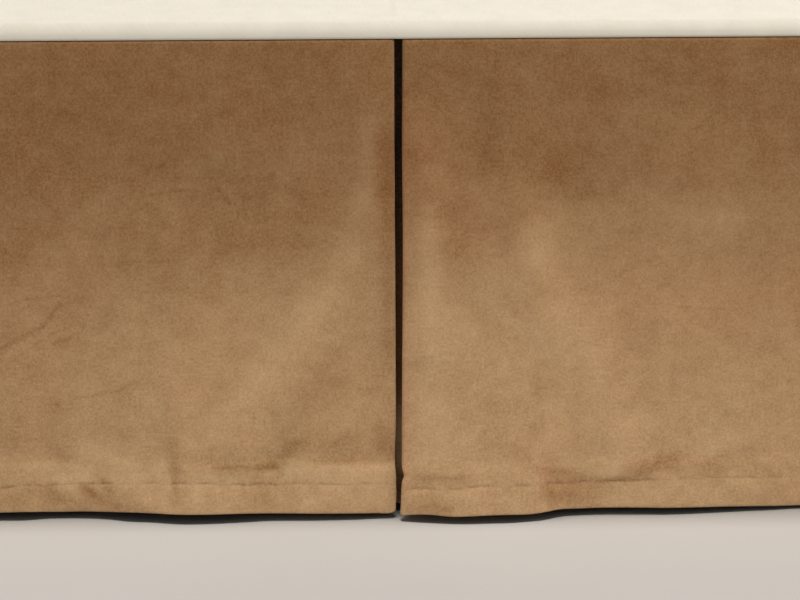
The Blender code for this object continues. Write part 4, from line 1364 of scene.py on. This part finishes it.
light = {
    "world": 0.15,
    "worldColour": (1.0, 0.985, 0.965, 1),
    # what the room looks like past the floor's end
    "backdrop": (0.62, 0.6, 0.57, 1),
    # place, aim, size across and up, power, colour
    "lamps": {
        "keyRight": ((1.19, -2.69, 3.46), (0.0, -1.0, 0.15), (0.8, 0.8), 118, (1.0, 0.97, 0.93)),
        "lowFront": ((0.0, -1.36, 0.03), (0.0, -1.0, 0.05), (1.5, 0.04), 1.1, (1.0, 0.97, 0.93)),
        "sideLeft": ((-5.2, -1.0, 3.2), (-0.76, 0.0, 0.15), (2.5, 2.0), 215, (1.0, 0.98, 0.95)),
        "sideRight": ((5.2, -1.0, 3.2), (0.76, 0.0, 0.15), (2.5, 2.0), 180, (1.0, 0.98, 0.95)),
        "behind": ((0.6, 6.2, 3.2), (0.0, 1.0, 0.2), (2.5, 2.0), 220, (1.0, 0.98, 0.95)),
    },
    "low": "lowFront",  # this one lights the foot of the bed alone
    # the floor has a light of its own from straight above, so that it stays even
    "floorPower": 2.35,
    "floorSoftness": 12,
    "floorColour": (1.0, 0.975, 0.945),
}


def addLamp(name, kind, place, power, colour):
    lampData = bpy.data.lights.new(name, kind)
    lampData.energy = power
    lampData.color = colour
    lamp = bpy.data.objects.new(name, lampData)
    bpy.context.collection.objects.link(lamp)
    lamp.location = place
    lamp.visible_camera = False
    return lamp


def addSoftBox(name, place, aim, size, power, colour):
    lamp = addLamp(name, "AREA", place, power, colour)
    lamp.data.shape = "RECTANGLE"
    lamp.data.size, lamp.data.size_y = size
    lamp.rotation_euler = (Vector(aim) - Vector(place)).to_track_quat("-Z", "Y").to_euler()
    return lamp


def lightOnly(lamp, pieces):
    lit = bpy.data.collections.new(lamp.name + "Lights")
    for piece in pieces:
        lit.objects.link(piece)
    lamp.light_linking.receiver_collection = lit


def makeWorld():
    world = bpy.data.worlds.new("paleRoom")
    bpy.context.scene.world = world
    world.use_nodes = True
    tree = world.node_tree
    tree.nodes.clear()
    soft = addNode(tree, "ShaderNodeBackground", {"Color": light["worldColour"], "Strength": light["world"]})
    seen = addNode(tree, "ShaderNodeBackground", {"Color": light["backdrop"], "Strength": 1.0})
    toCamera = addNode(tree, "ShaderNodeLightPath").outputs["Is Camera Ray"]
    inputs = {0: toCamera, 1: soft.outputs[0], 2: seen.outputs[0]}
    mixed = addNode(tree, "ShaderNodeMixShader", inputs)
    addNode(tree, "ShaderNodeOutputWorld", {"Surface": mixed.outputs[0]})


allPieces = [thing for thing in bpy.context.scene.objects if thing.type == "MESH" and thing != floor]
for name, facts in light["lamps"].items():
    lamp = addSoftBox(name, *facts)
    lightOnly(lamp, [footCloth, deckCloth, *footStitches] if name == light["low"] else allPieces)
floorLamp = addLamp("floorLight", "SUN", (0, 0, 5), light["floorPower"], light["floorColour"])
floorLamp.data.angle = math.radians(light["floorSoftness"])
lightOnly(floorLamp, [floor])
makeWorld()
bpy.context.scene.view_settings.view_transform = "Standard"

camera = {
    "aim": (0.0011, -1.0097, 0.171),
    "azimuth": -1.5,
    "elevation": 18,
    "distance": 2.65,
    "lens": 160,
    "sensor": 36,
    "farthest": 200,
}
(level, up), (toFront, toSide) = turns((camera["elevation"], camera["azimuth"]))
towards = Vector((toSide * level, -toFront * level, up))
cameraData = bpy.data.cameras.new("camera")
cameraData.lens = camera["lens"]
cameraData.sensor_width = camera["sensor"]
cameraData.clip_end = camera["farthest"]
viewer = bpy.data.objects.new("camera", cameraData)
bpy.context.collection.objects.link(viewer)
viewer.location = Vector(camera["aim"]) + towards * camera["distance"]
viewer.rotation_euler = (-towards).to_track_quat("-Z", "Y").to_euler()
bpy.context.scene.camera = viewer
print("camera and lights ready")
